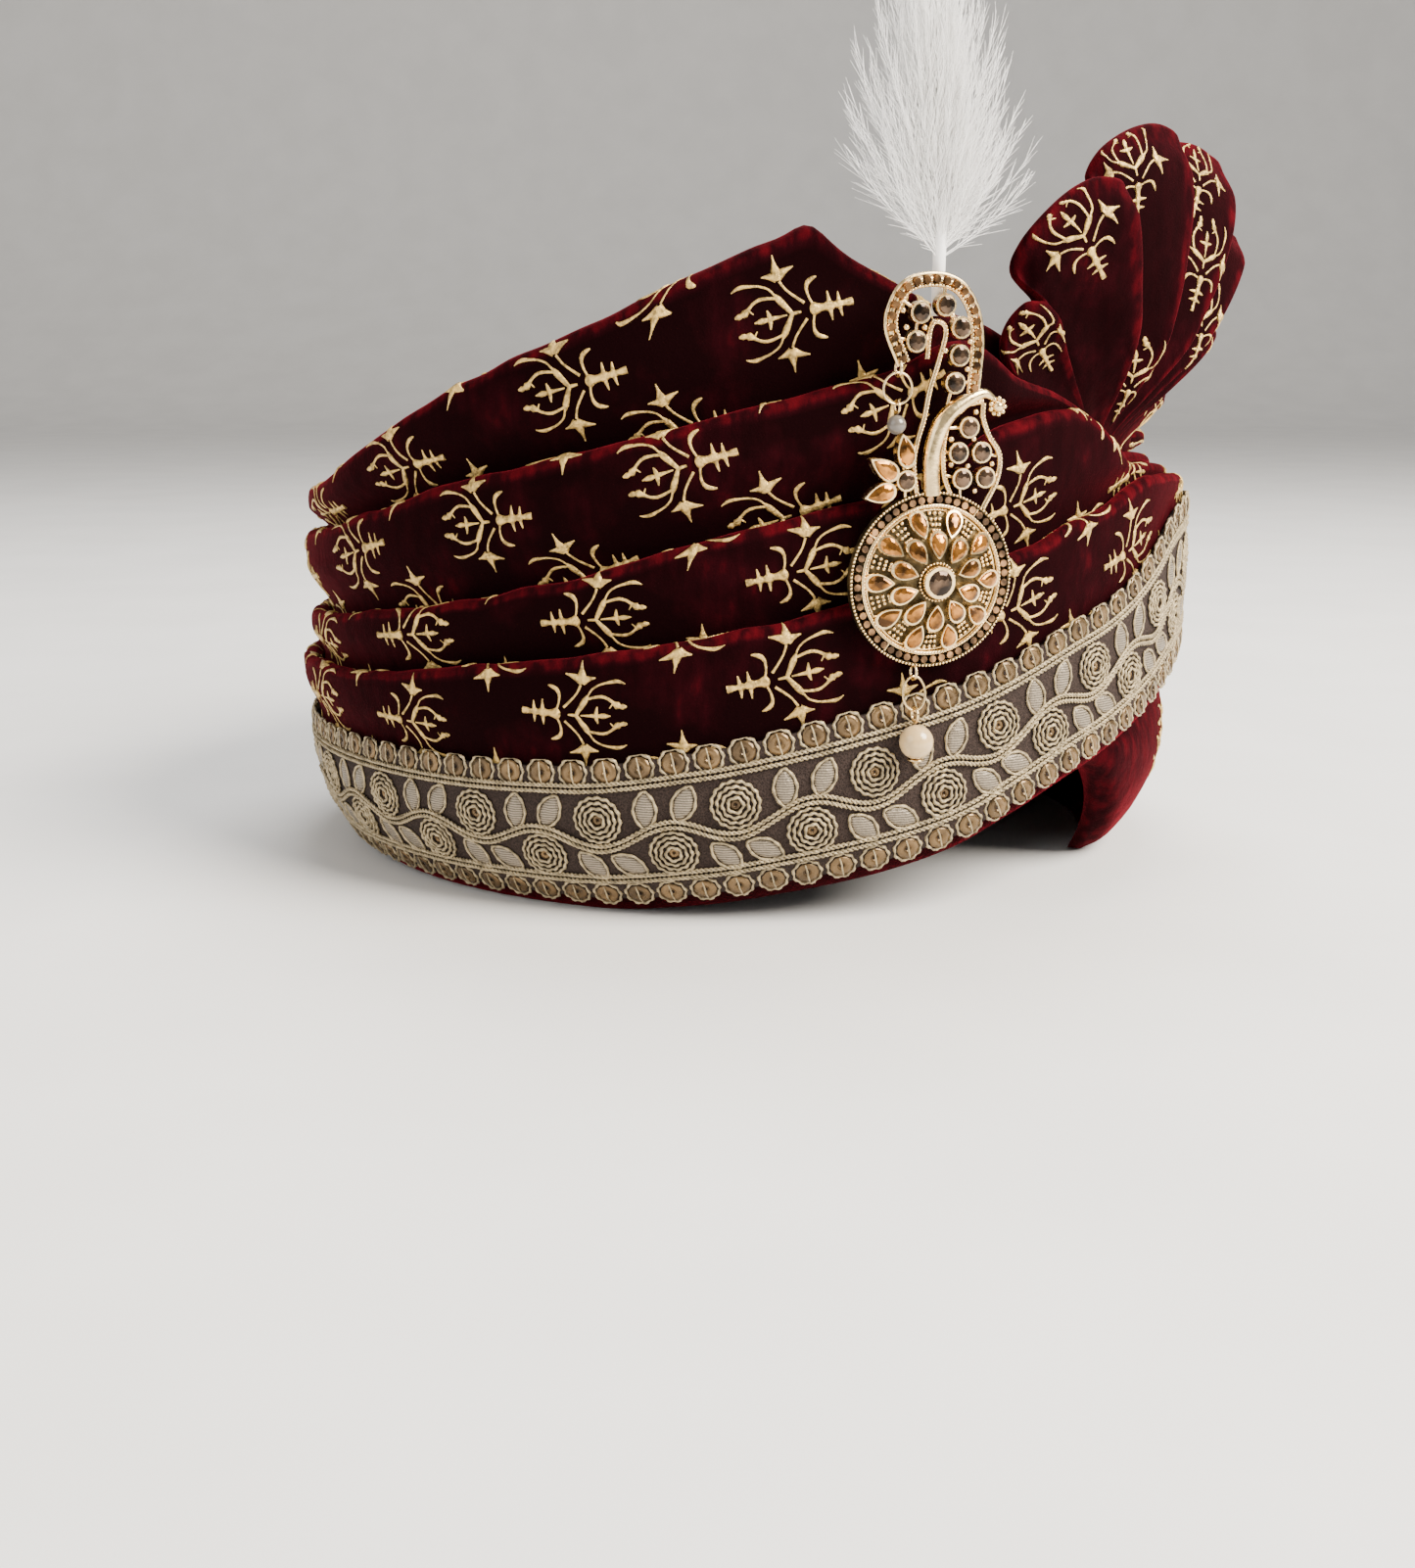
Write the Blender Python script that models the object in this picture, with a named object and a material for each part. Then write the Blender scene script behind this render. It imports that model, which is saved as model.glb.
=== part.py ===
"""Ready-tied velvet turban with a lace rim, a pleated fan and a jewelled clip with a plume.

Metres, +Z up. The front is at -Y, the knot and the fan are at +X. The turban rests on the
plane z = 0. An azimuth is the angle round the turban in degrees: 0 at +X, -90 at the front,
90 at the back. Every wall is placed by azimuth, height, and its distance out from the body.
"""
import math

import bmesh
import bpy
from mathutils import Matrix, Vector

# Body of the turban
HALF_WIDTH = 0.1145
HALF_DEPTH = 0.1085
PEAK_HEIGHT = 0.147
BACK_DROP = 0.06
RIM_PULL = 0.10
RIM_PULL_HEIGHT = 0.030
TOP_LEAN = 0.0018
LEAN_START = 0.100
STATION_COUNT = 40

# Wound cloth
WRAP_THICKNESS = 0.0038
LAYER_GAP = 0.0005
TUCK = 0.0075
FOLD_SWELL = 0.0007
FACE_SET_IN = 0.0020
FULL_FACE = 0.014
CROWN_THICKNESS = 0.0040
CROWN_HEIGHT = 0.108
CROWN_SKIRT_RISE = 0.020
CROWN_RIM_DROP = 0.0045
CROWN_GAP = 0.0012

# Lace along the rim
LACE_WIDTH = 0.0350
LACE_THICKNESS = 0.0012
LACE_SEAT_GAP = 0.0003
LACE_SET_IN = 0.0028
HEM_REVEAL = 0.0019

# Roll of velvet below the raised side of the rim
NAPE_THICKNESS = 0.0030
NAPE_START = -45.0
NAPE_LIFT_END = -24.0
NAPE_END = 99.0
NAPE_STEP = 9.0
NAPE_GAP = 0.0016

# Pleated fan
FAN_HEIGHT = 0.0775
FAN_THICKNESS = 0.0026
FAN_AZIMUTH = -32.5
FAN_FOOT_HEIGHT = 0.0950
FAN_RADIUS = 0.104
FAN_ROOT = 0.0075
PLEAT_DEPTH = 0.0085
FAN_FLARE = 0.0085
FAN_POCKET_START = -69.0
FAN_POCKET_END = 2.0
POCKET_BLEND = 9.0
POCKET_GAP = 0.0034
FAN_GAP = 0.0012

# Clip
DISC_RADIUS = 0.0186
CLIP_AZIMUTH = -70.5
CLIP_HEIGHT = 0.0768
CLIP_TILT = 2.0
CLIP_STANDOFF = 0.0005
METAL_THICKNESS = 0.0017
DOME_RISE = 0.0034
STONE_RISE = 0.0011
STONE_SEAT_GAP = 0.0001
PEARL_RADIUS = 0.0037
SIDE_PEARL_RADIUS = 0.0020
LINK_WIRE_RADIUS = 0.00028
BAIL_RADIUS = 0.00155
BAIL_OUT = 0.0014
LINK_HALF_HEIGHT = 0.0037
LINK_HALF_WIDTH = 0.0026
SIDE_LINK_RADIUS = 0.0032
DROP_LEAN = 0.17

# Plume
PLUME_HEIGHT = 0.0880
QUILL_RADIUS = 0.0013

# Height of each fold at each azimuth, as a share of PEAK_HEIGHT. Lace is the lace's height
# as a share of LACE_WIDTH: it is over 1 where the rim climbs.
FOLD_COLUMNS = ("azimuth", "hem", "lace", "edge_1", "edge_2", "edge_3", "edge_4")
FOLD_ROWS = (
    (0.0, 0.338, 1.07, 0.628, 0.645, 0.662, 0.710),
    (15.0, 0.328, 1.15, 0.642, 0.659, 0.676, 0.720),
    (25.0, 0.296, 1.22, 0.651, 0.668, 0.685, 0.732),
    (33.0, 0.264, 1.10, 0.653, 0.671, 0.689, 0.745),
    (40.0, 0.235, 1.02, 0.629, 0.700, 0.720, 0.788),
    (45.0, 0.214, 1.00, 0.609, 0.738, 0.760, 0.813),
    (50.0, 0.194, 1.00, 0.590, 0.760, 0.785, 0.850),
    (58.0, 0.150, 1.02, 0.558, 0.747, 0.809, 0.888),
    (66.0, 0.102, 1.08, 0.531, 0.700, 0.860, 0.900),
    (75.0, 0.069, 1.10, 0.500, 0.644, 0.813, 0.945),
    (85.0, 0.043, 1.07, 0.469, 0.609, 0.781, 1.000),
    (95.0, 0.019, 1.05, 0.438, 0.578, 0.747, 0.950),
    (110.0, 0.000, 1.00, 0.406, 0.519, 0.696, 0.868),
    (125.0, 0.000, 0.96, 0.377, 0.475, 0.653, 0.791),
    (140.0, 0.000, 0.95, 0.350, 0.444, 0.600, 0.706),
    (155.0, 0.000, 0.94, 0.338, 0.419, 0.559, 0.638),
    (180.0, 0.000, 0.93, 0.331, 0.403, 0.538, 0.606),
)

# Pleats of the fan, left to right: the angle of each ridge from upright, in degrees, how far its
# cloth reaches, as a share of FAN_HEIGHT, and how far it leans out, as a share of FAN_FLARE.
PLEAT_ROWS = (
    (-44.0, 0.885, 0.80),
    (-27.0, 0.945, 0.95),
    (-6.0, 1.000, 1.10),
    (20.0, 0.960, 1.70),
    (36.0, 0.870, 2.15),
    (52.0, 0.750, 2.30),
    (67.0, 0.580, 2.10),
    (80.0, 0.430, 1.70),
)
FAN_FIRST_ANGLE = -58.0

# Each pleat's own profile, from valley to ridge: share of its angle, drop of its end as a share
# of FAN_HEIGHT, and outward swing as a share of PLEAT_DEPTH.
PLEAT_PROFILE = (
    (0.00, 0.055, 0.00),
    (0.22, 0.012, 0.30),
    (0.62, 0.000, 0.72),
    (0.93, 0.030, 1.00),
)

# Places on the clip, as shares of DISC_RADIUS from the disc's centre: right, then up.
HOOK_PATH = (
    (-0.43, 2.41), (-0.60, 2.80), (-0.54, 3.09), (-0.40, 3.25), (-0.19, 3.31), (0.05, 3.30),
    (0.25, 3.20), (0.40, 2.97), (0.46, 2.66), (0.45, 2.36), (0.43, 2.08),
)
HOOK_INNER_PATH = (
    (-0.14, 2.46), (-0.11, 2.80), (-0.01, 2.86), (0.075, 2.76), (0.01, 2.46), (-0.09, 2.12),
    (-0.145, 1.81), (-0.22, 1.55), (-0.25, 1.30), (-0.20, 0.97),
)
CRESCENT_PATH = (
    (-0.03, 0.96), (-0.05, 1.38), (0.05, 1.74), (0.26, 1.95), (0.54, 2.08), (0.71, 2.01),
)
PAISLEY_LEFT_PATH = (
    (0.56, 2.00), (0.35, 1.95), (0.18, 1.81), (0.10, 1.56), (0.11, 1.21), (0.20, 0.97),
)
PAISLEY_RIGHT_PATH = (
    (0.57, 1.98), (0.57, 1.82), (0.66, 1.61), (0.80, 1.40), (0.78, 1.12), (0.62, 0.80),
)
HOOK_STONES = (
    (-0.30, 2.65), (-0.26, 2.96), (0.04, 3.04), (0.24, 2.80), (0.235, 2.50), (0.19, 2.20),
)
PAISLEY_STONES = (
    (0.39, 1.71), (0.27, 1.43), (0.56, 1.43), (0.33, 1.14), (0.62, 1.15),
)
SIDE_STONE = (-0.36, 1.13)

# Leaf stones: place to the right and up, then the angle of the leaf's point from upright.
LEAF_ROWS = (
    (-0.38, 1.46, 14.0),
    (-0.63, 1.27, 58.0),
    (-0.67, 0.99, 104.0),
)

# Short bars that join the settings to the wires and to each other.
STRUTS = (
    ((-0.58, 2.70), (-0.30, 2.65)),
    ((-0.30, 2.65), (-0.26, 2.96)),
    ((-0.26, 2.96), (-0.50, 3.12)),
    ((0.04, 3.04), (0.05, 3.30)),
    ((0.04, 3.04), (0.24, 2.80)),
    ((0.24, 2.80), (0.46, 2.80)),
    ((0.235, 2.50), (0.46, 2.50)),
    ((0.19, 2.20), (0.45, 2.20)),
    ((0.19, 2.20), (0.12, 1.88)),
    ((0.39, 1.71), (0.14, 1.70)),
    ((0.27, 1.43), (0.10, 1.43)),
    ((0.56, 1.43), (0.80, 1.38)),
    ((0.62, 1.15), (0.80, 1.15)),
    ((0.33, 1.14), (0.12, 1.18)),
    ((0.33, 1.14), (0.34, 0.90)),
    ((-0.36, 1.13), (-0.33, 0.90)),
    ((-0.36, 1.13), (-0.38, 1.40)),
    ((-0.36, 1.13), (-0.60, 1.25)),
    ((-0.36, 1.13), (-0.62, 1.00)),
)

# Settings, rims and the lines that the pearls hang on, as shares of DISC_RADIUS
DROP_LINE = -0.17
SIDE_LINE = -0.49
SIDE_BAIL_UP = 2.36
ROUND_SETTING = 0.125
ROUND_STONE = 0.095
CENTRE_SETTING = 0.190
CENTRE_STONE = 0.160
INNER_RING = 0.42
OUTER_RING = 0.675
PETAL_LENGTH = 0.275
PETAL_WIDTH = 0.185
PETAL_COUNT = 10
LEAF_LENGTH = 0.40
LEAF_WIDTH = 0.23
STONE_SHARE = 0.78
WIRE_RING = 0.83
ROPE_WIDTH = 0.145
WIRE_WIDTH = 0.07

# Locks of the plume: where each tip lies from the quill's foot, as shares of PLUME_HEIGHT,
# to the right, up and forwards, and the lock's greatest width as the same share.
LOCK_ROWS = (
    (-0.26, 0.70, 0.03, 0.085),
    (-0.20, 0.86, -0.04, 0.095),
    (-0.09, 0.97, 0.03, 0.110),
    (0.03, 1.00, -0.03, 0.120),
    (0.14, 0.96, 0.04, 0.110),
    (0.24, 0.86, -0.03, 0.095),
    (0.28, 0.70, 0.02, 0.085),
    (0.04, 0.84, 0.09, 0.110),
    (0.03, 0.82, -0.09, 0.110),
)

MATERIALS = {
    "velvet": ((0.085, 0.004, 0.010, 1.0), 0.85, 0.0),
    "lace": ((0.42, 0.36, 0.24, 1.0), 0.55, 0.25),
    "gilt": ((0.83, 0.70, 0.46, 1.0), 0.26, 1.0),
    "amber_stone": ((0.62, 0.28, 0.09, 1.0), 0.08, 0.0),
    "smoky_stone": ((0.14, 0.07, 0.06, 1.0), 0.08, 0.0),
    "pearl": ((0.86, 0.76, 0.58, 1.0), 0.22, 0.0),
    "grey_pearl": ((0.50, 0.47, 0.44, 1.0), 0.25, 0.0),
    "feather": ((0.88, 0.86, 0.83, 1.0), 0.80, 0.0),
}


def clamp(value, low=0.0, high=1.0):
    return max(low, min(high, value))


def smooth(value):
    value = clamp(value)
    return value * value * (3.0 - 2.0 * value)


def row_value(rows, column, where):
    """Reads a table column at any azimuth, on a smooth curve that never overshoots."""
    last = len(rows) - 1
    index = 0
    while index < last - 1 and where > rows[index + 1][0]:
        index += 1

    def slope(i):
        return (rows[i + 1][column] - rows[i][column]) / (rows[i + 1][0] - rows[i][0])

    def tangent(i):
        if i == 0 or i == last:
            return 0.0
        before, after = slope(i - 1), slope(i)
        if before * after <= 0.0:
            return 0.0
        return 2.0 * before * after / (before + after)

    span = rows[index + 1][0] - rows[index][0]
    t = clamp((where - rows[index][0]) / span)
    low, high = rows[index][column], rows[index + 1][column]
    return (
        low * (1 + 2 * t) * (1 - t) ** 2
        + high * t * t * (3 - 2 * t)
        + span * tangent(index) * t * (1 - t) ** 2
        - span * tangent(index + 1) * t * t * (1 - t)
    )


def fold_height(name, azimuth):
    """Height of the hem or of a fold's upper edge."""
    folded = abs((azimuth + 180.0) % 360.0 - 180.0)
    share = row_value(FOLD_ROWS, FOLD_COLUMNS.index(name), folded)
    if name == "hem":
        return max(0.0, share * PEAK_HEIGHT)
    back = smooth(math.sin(math.radians(azimuth)))
    return share * PEAK_HEIGHT * (1.0 - BACK_DROP * back)


def lace_low(azimuth):
    return fold_height("hem", azimuth) + HEM_REVEAL


def lace_high(azimuth):
    folded = abs((azimuth + 180.0) % 360.0 - 180.0)
    share = row_value(FOLD_ROWS, FOLD_COLUMNS.index("lace"), folded)
    return lace_low(azimuth) + share * LACE_WIDTH


def place(azimuth, out, height):
    """A point at a distance out from the body's own oval, which draws in at rim and top."""
    rim = max(0.0, 1.0 - height / RIM_PULL_HEIGHT)
    over = max(0.0, height - LEAN_START) / (PEAK_HEIGHT - LEAN_START)
    angle = math.radians(azimuth)
    shrink = 1.0 - RIM_PULL * rim * rim
    lean = TOP_LEAN * over * over
    x = (HALF_WIDTH * shrink - lean + out) * math.cos(angle)
    y = (HALF_DEPTH * shrink - lean + out) * math.sin(angle)
    return Vector((x, y, height))


class Layer:
    """One wound fold at one azimuth: where its cloth starts, shows and ends."""

    def __init__(self, bottom, low, top, out_low, rise):
        self.bottom = bottom
        self.low = low
        self.top = top
        self.out_low = out_low
        self.rise = rise
        self.shoulder = top - WRAP_THICKNESS * 0.45

    def outer(self, height):
        full = 0.6 * max(self.top - self.low, 0.0005)
        return self.out_low + self.rise * smooth((height - self.low) / full)

    def inner(self, height):
        share = clamp((height - self.bottom) / (self.shoulder - self.bottom))
        foot = self.outer(self.bottom) - WRAP_THICKNESS
        head = self.outer(self.shoulder) - WRAP_THICKNESS
        return foot + (head - foot) * share


def pocket_share(azimuth):
    """1 where the fan's foot lies between the third and the fourth fold."""
    start = smooth((azimuth - FAN_POCKET_START) / POCKET_BLEND)
    end = smooth((FAN_POCKET_END - azimuth) / POCKET_BLEND)
    return start * end


def layers_at(azimuth):
    """The four folds at one azimuth, from the lowest up, each behind the one before."""
    azimuth = (azimuth + 180.0) % 360.0 - 180.0
    set_in = LACE_SET_IN * 0.5 * (1.0 - math.cos(math.radians(azimuth)))
    first = Layer(
        fold_height("hem", azimuth), lace_high(azimuth), fold_height("edge_1", azimuth),
        -set_in, set_in,
    )
    found = [first]
    for number in (2, 3, 4):
        before = found[-1]
        bottom = before.top - TUCK
        out_low = before.inner(bottom) - LAYER_GAP
        top = fold_height("edge_%d" % number, azimuth)
        reach = smooth((top - before.top) / FULL_FACE)
        if number == 4:
            share = pocket_share(azimuth)
            out_low -= share * (FAN_THICKNESS + POCKET_GAP)
            reach *= 1.0 - share
        rise = max(0.0, -FACE_SET_IN - out_low) * reach
        found.append(Layer(bottom, before.top, top, out_low, rise))
    return found


def station_azimuths():
    return [360.0 * index / STATION_COUNT for index in range(STATION_COUNT)]


def material(name):
    found = bpy.data.materials.get(name)
    if found:
        return found
    colour, roughness, metallic = MATERIALS[name]
    found = bpy.data.materials.new(name)
    found.use_nodes = True
    shader = found.node_tree.nodes["Principled BSDF"]
    shader.inputs["Base Color"].default_value = colour
    shader.inputs["Roughness"].default_value = roughness
    shader.inputs["Metallic"].default_value = metallic
    found.diffuse_color = colour
    return found


def finish(mesh_builder, name, slot, parent, recalculate=True):
    """Turns a bmesh into one named object on its parent."""
    if recalculate:
        bmesh.ops.recalc_face_normals(mesh_builder, faces=mesh_builder.faces)
    mesh = bpy.data.meshes.new(name)
    mesh_builder.to_mesh(mesh)
    mesh_builder.free()
    mesh.materials.append(material(slot))
    piece = bpy.data.objects.new(name, mesh)
    bpy.context.collection.objects.link(piece)
    piece.parent = parent
    return piece


def fuse(piece, additions):
    """Joins a mesh of overlapping closed shapes to a piece, as one body."""
    additions.hide_render = True
    additions.display_type = "WIRE"
    join = piece.modifiers.new("fuse", "BOOLEAN")
    join.operation = "UNION"
    join.solver = "EXACT"
    join.use_self = True
    join.object = additions


def loft(mesh_builder, sections, closed_way, capped=False):
    """Joins closed sections of equal point counts into one skin."""
    rings = [[mesh_builder.verts.new(point) for point in section] for section in sections]
    size = len(rings[0])
    count = len(rings) if closed_way else len(rings) - 1
    for index in range(count):
        here, there = rings[index], rings[(index + 1) % len(rings)]
        for corner in range(size):
            after = (corner + 1) % size
            mesh_builder.faces.new((here[corner], here[after], there[after], there[corner]))
    if capped:
        mesh_builder.faces.new(list(reversed(rings[0])))
        mesh_builder.faces.new(rings[-1])
    return rings


def wrap_section(azimuth, number):
    """Closed section of one fold: up its outer face, over the roll and down behind."""
    layer = layers_at(azimuth)[number - 1]
    if number == 1:
        low, high = lace_low(azimuth), lace_high(azimuth)
        levels = [layer.bottom, low, low + (high - low) / 3, low + (high - low) * 2 / 3, high]
        levels.append(0.5 * (high + layer.shoulder))
    else:
        run = layer.shoulder - layer.bottom
        levels = [layer.bottom + run * share for share in (0.0, 0.28, 0.52, 0.78)]
    points = [(layer.outer(level), level) for level in levels]
    points.append((layer.outer(layer.shoulder) + FOLD_SWELL, layer.shoulder))
    points.append((layer.outer(layer.top) - WRAP_THICKNESS * 0.45, layer.top))
    middle = 0.5 * (layer.bottom + layer.shoulder)
    inner_levels = [layer.shoulder, middle, layer.bottom]
    if number == 1:
        inner_levels.insert(2, 0.5 * (layer.bottom + middle))
    points += [(layer.inner(level), level) for level in inner_levels]
    return [place(azimuth, out, height) for out, height in points]


def make_wraps(parent):
    for number in (1, 2, 3, 4):
        builder = bmesh.new()
        sections = [wrap_section(azimuth, number) for azimuth in station_azimuths()]
        loft(builder, sections, closed_way=True)
        finish(builder, "wrap_%d" % number, "velvet", parent)


def make_lace(parent):
    builder = bmesh.new()
    sections = []
    for azimuth in station_azimuths():
        layer = layers_at(azimuth)[0]
        low, high = lace_low(azimuth), lace_high(azimuth)
        levels = [low + (high - low) * step / 3 for step in range(4)]
        inner = [(layer.outer(level) + LACE_SEAT_GAP, level) for level in levels]
        outer = [(out + LACE_THICKNESS, level) for out, level in reversed(inner)]
        sections.append([place(azimuth, out, level) for out, level in inner + outer])
    loft(builder, sections, closed_way=True)
    finish(builder, "lace_band", "lace", parent)


def make_crown(parent):
    """The domed cap inside the folds: its top, its rim and the skirt behind the folds."""
    builder = bmesh.new()
    sections = []
    top_shares = (0.45, 0.84)
    for azimuth in station_azimuths():
        top_layer = layers_at(azimuth)[3]
        start = fold_height("hem", azimuth) + CROWN_SKIRT_RISE
        middle = 0.5 * (top_layer.bottom + top_layer.shoulder)
        rim = top_layer.shoulder - CROWN_RIM_DROP
        rim_share = clamp((rim - middle) / (top_layer.shoulder - middle))
        foot_out = top_layer.inner(top_layer.bottom) - CROWN_GAP
        middle_out = top_layer.inner(middle) - CROWN_GAP
        rim_out = middle_out + (top_layer.inner(top_layer.shoulder) - CROWN_GAP - middle_out) * rim_share
        outer = [
            place(azimuth, foot_out, start),
            place(azimuth, foot_out, top_layer.bottom),
            place(azimuth, middle_out, middle),
            place(azimuth, rim_out, rim),
        ]
        edge = outer[-1]
        dome = []
        for share in reversed(top_shares):
            height = CROWN_HEIGHT + (rim - CROWN_HEIGHT) * share ** 2.4
            dome.append(Vector((edge.x * share, edge.y * share, height)))
        under = []
        for share in top_shares:
            height = CROWN_HEIGHT + (rim - CROWN_HEIGHT) * share ** 2.4 - CROWN_THICKNESS
            inset = share * (1.0 - CROWN_THICKNESS / HALF_WIDTH)
            under.append(Vector((edge.x * inset, edge.y * inset, height)))
        inner = [
            place(azimuth, rim_out - CROWN_THICKNESS, rim - CROWN_THICKNESS),
            place(azimuth, foot_out - CROWN_THICKNESS, top_layer.bottom),
            place(azimuth, foot_out - CROWN_THICKNESS, start),
        ]
        sections.append(outer + dome + under + inner)
    rings = [[builder.verts.new(point) for point in section] for section in sections]
    size = len(rings[0])
    top_index = 5
    for index, here in enumerate(rings):
        there = rings[(index + 1) % len(rings)]
        for corner in range(size):
            if corner == top_index:
                continue
            after = (corner + 1) % size
            builder.faces.new((here[corner], here[after], there[after], there[corner]))
    for corner, height in ((top_index, CROWN_HEIGHT), (top_index + 1, CROWN_HEIGHT - CROWN_THICKNESS)):
        pole = builder.verts.new((0.0, 0.0, height))
        for index, here in enumerate(rings):
            there = rings[(index + 1) % len(rings)]
            builder.faces.new((here[corner], there[corner], pole))
    finish(builder, "crown", "velvet", parent)


def make_nape(parent):
    """Velvet below the raised rim, tucked behind the lowest fold and resting on the ground."""
    builder = bmesh.new()
    sections = []
    count = round((NAPE_END - NAPE_START) / NAPE_STEP)
    for index in range(count + 1):
        azimuth = NAPE_START + NAPE_STEP * index
        layer = layers_at(azimuth)[0]
        hem = layer.bottom
        lift = 1.0 - smooth((azimuth - NAPE_START) / (NAPE_LIFT_END - NAPE_START))
        foot = lift * (hem - HEM_REVEAL)
        tucked = layer.inner(hem) - NAPE_GAP
        face = tucked + 0.8 * WRAP_THICKNESS * smooth((hem - foot) / FULL_FACE)
        drop = hem - LAYER_GAP - foot
        outer = [
            (tucked - NAPE_THICKNESS * 0.5, foot),
            (0.6 * face + 0.4 * tucked, foot + drop * 0.10),
            (face, foot + drop * 0.38),
            (face, foot + drop * 0.72),
            (tucked, foot + drop),
            (tucked, hem + TUCK),
        ]
        inner = [
            (tucked - NAPE_THICKNESS, hem + TUCK),
            (tucked - NAPE_THICKNESS, foot + drop * 0.72),
            (tucked - NAPE_THICKNESS, foot + drop * 0.38),
            (tucked - NAPE_THICKNESS * 1.6, foot),
        ]
        sections.append([place(azimuth, out, height) for out, height in outer + inner])
    loft(builder, sections, closed_way=False, capped=True)
    finish(builder, "nape_fold", "velvet", parent)


def fan_columns():
    """Angle, reach, swing and lean of every line of cloth in the fan, left to right."""
    columns = []
    left = FAN_FIRST_ANGLE
    left_lean = PLEAT_ROWS[0][2]
    for angle, reach, lean in PLEAT_ROWS:
        for share, drop, swing in PLEAT_PROFILE:
            here = left + (angle - left) * share
            columns.append((here, reach - drop, swing, left_lean + (lean - left_lean) * share))
        left, left_lean = angle, lean
    columns.append((left, reach - PLEAT_PROFILE[0][1], 0.0, left_lean))
    return columns


def fan_point(angle, reach, swing, lean, share, inside):
    """A point of the fan's cloth at a share of the way from its foot to its top."""
    turn = math.radians(angle)
    run = FAN_ROOT + (reach * FAN_HEIGHT - FAN_ROOT) * share
    azimuth = FAN_AZIMUTH + math.degrees(run * math.sin(turn) / FAN_RADIUS)
    height = FAN_FOOT_HEIGHT + run * math.cos(turn)
    fold = layers_at(azimuth)[2]
    seat = fold.inner(min(height, fold.shoulder)) - FAN_GAP
    free = height - fold.top
    flare = lean * FAN_FLARE * smooth(free / (0.75 * FAN_HEIGHT)) + FACE_SET_IN * smooth(free / FULL_FACE)
    pleat = PLEAT_DEPTH * swing * smooth(free / (2.0 * FULL_FACE))
    curl = 0.35 * PLEAT_DEPTH * smooth((share - 0.86) / 0.14) * smooth(free / FULL_FACE)
    out = seat + flare + pleat - curl
    if inside:
        out -= FAN_THICKNESS
    return place(azimuth, out, height)


def make_fan(parent):
    builder = bmesh.new()
    shares = (0.0, 0.14, 0.30, 0.48, 0.66, 0.82, 0.93, 1.0)
    sections = []
    for angle, reach, swing, lean in fan_columns():
        face = [fan_point(angle, reach, swing, lean, share, False) for share in shares]
        back = [fan_point(angle, reach, swing, lean, share, True) for share in reversed(shares)]
        sections.append(face + back)
    loft(builder, sections, closed_way=False, capped=True)
    finish(builder, "fan", "velvet", parent)


def clip_point(right, up, out=0.0):
    """A point of the clip, from shares of the disc's radius to metres in the clip's frame."""
    return Vector((right * DISC_RADIUS, up * DISC_RADIUS, out))


def dome(right, up):
    """How far the disc's face stands out at a place on it."""
    radius = math.hypot(right, up) / (WIRE_RING * DISC_RADIUS)
    return DOME_RISE * max(0.0, 1.0 - radius * radius)


def round_outline(right, up, radius, sides):
    turn = 2.0 * math.pi / sides
    return [
        (right + radius * math.cos(turn * (i + 0.5)), up + radius * math.sin(turn * (i + 0.5)))
        for i in range(sides)
    ]


def drop_outline(right, up, length, width, point_angle, sides):
    """A pointed drop. The point lies towards point_angle, in degrees from upright."""
    lean = math.radians(point_angle)
    found = []
    for index in range(sides):
        t = 2.0 * math.pi * index / sides
        across = -0.62 * width * math.sin(t) * math.sin(0.5 * t) ** 0.8
        along = 0.5 * length * math.cos(t)
        found.append((
            right + across * math.cos(lean) - along * math.sin(lean),
            up + across * math.sin(lean) + along * math.cos(lean),
        ))
    return found


def add_prism(builder, outline, low, high, top_share=1.0, domed=False):
    """A closed block on an outline given in shares of the disc's radius."""
    centre_right = sum(p[0] for p in outline) / len(outline)
    centre_up = sum(p[1] for p in outline) / len(outline)
    middle = clip_point(centre_right, centre_up)
    rings = []
    for share, out in ((1.0, low), (top_share, high)):
        ring = []
        for right, up in outline:
            point = clip_point(
                centre_right + (right - centre_right) * share, centre_up + (up - centre_up) * share, out
            )
            if domed:
                fall = (point - middle).xy.dot(middle.xy) * 2.0 * DOME_RISE / (WIRE_RING * DISC_RADIUS) ** 2
                point.z += dome(middle.x, middle.y) - fall
            ring.append(builder.verts.new(point))
        rings.append(ring)
    size = len(outline)
    for corner in range(size):
        after = (corner + 1) % size
        builder.faces.new((rings[0][corner], rings[0][after], rings[1][after], rings[1][corner]))
    builder.faces.new(list(reversed(rings[0])))
    builder.faces.new(rings[1])


def add_bar(builder, path, width, low, high):
    """A flat bar of even width along a path of shares of the disc's radius."""
    sides = []
    for index, here in enumerate(path):
        before = path[max(index - 1, 0)]
        after = path[min(index + 1, len(path) - 1)]
        along = Vector((after[0] - before[0], after[1] - before[1])).normalized()
        span = width if isinstance(width, float) else width[index]
        side = Vector((-along.y, along.x)) * 0.5 * span
        sides.append([
            clip_point(here[0] + side.x, here[1] + side.y, low),
            clip_point(here[0] - side.x, here[1] - side.y, low),
            clip_point(here[0] - side.x, here[1] - side.y, high),
            clip_point(here[0] + side.x, here[1] + side.y, high),
        ])
    loft(builder, sides, closed_way=False, capped=True)


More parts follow.
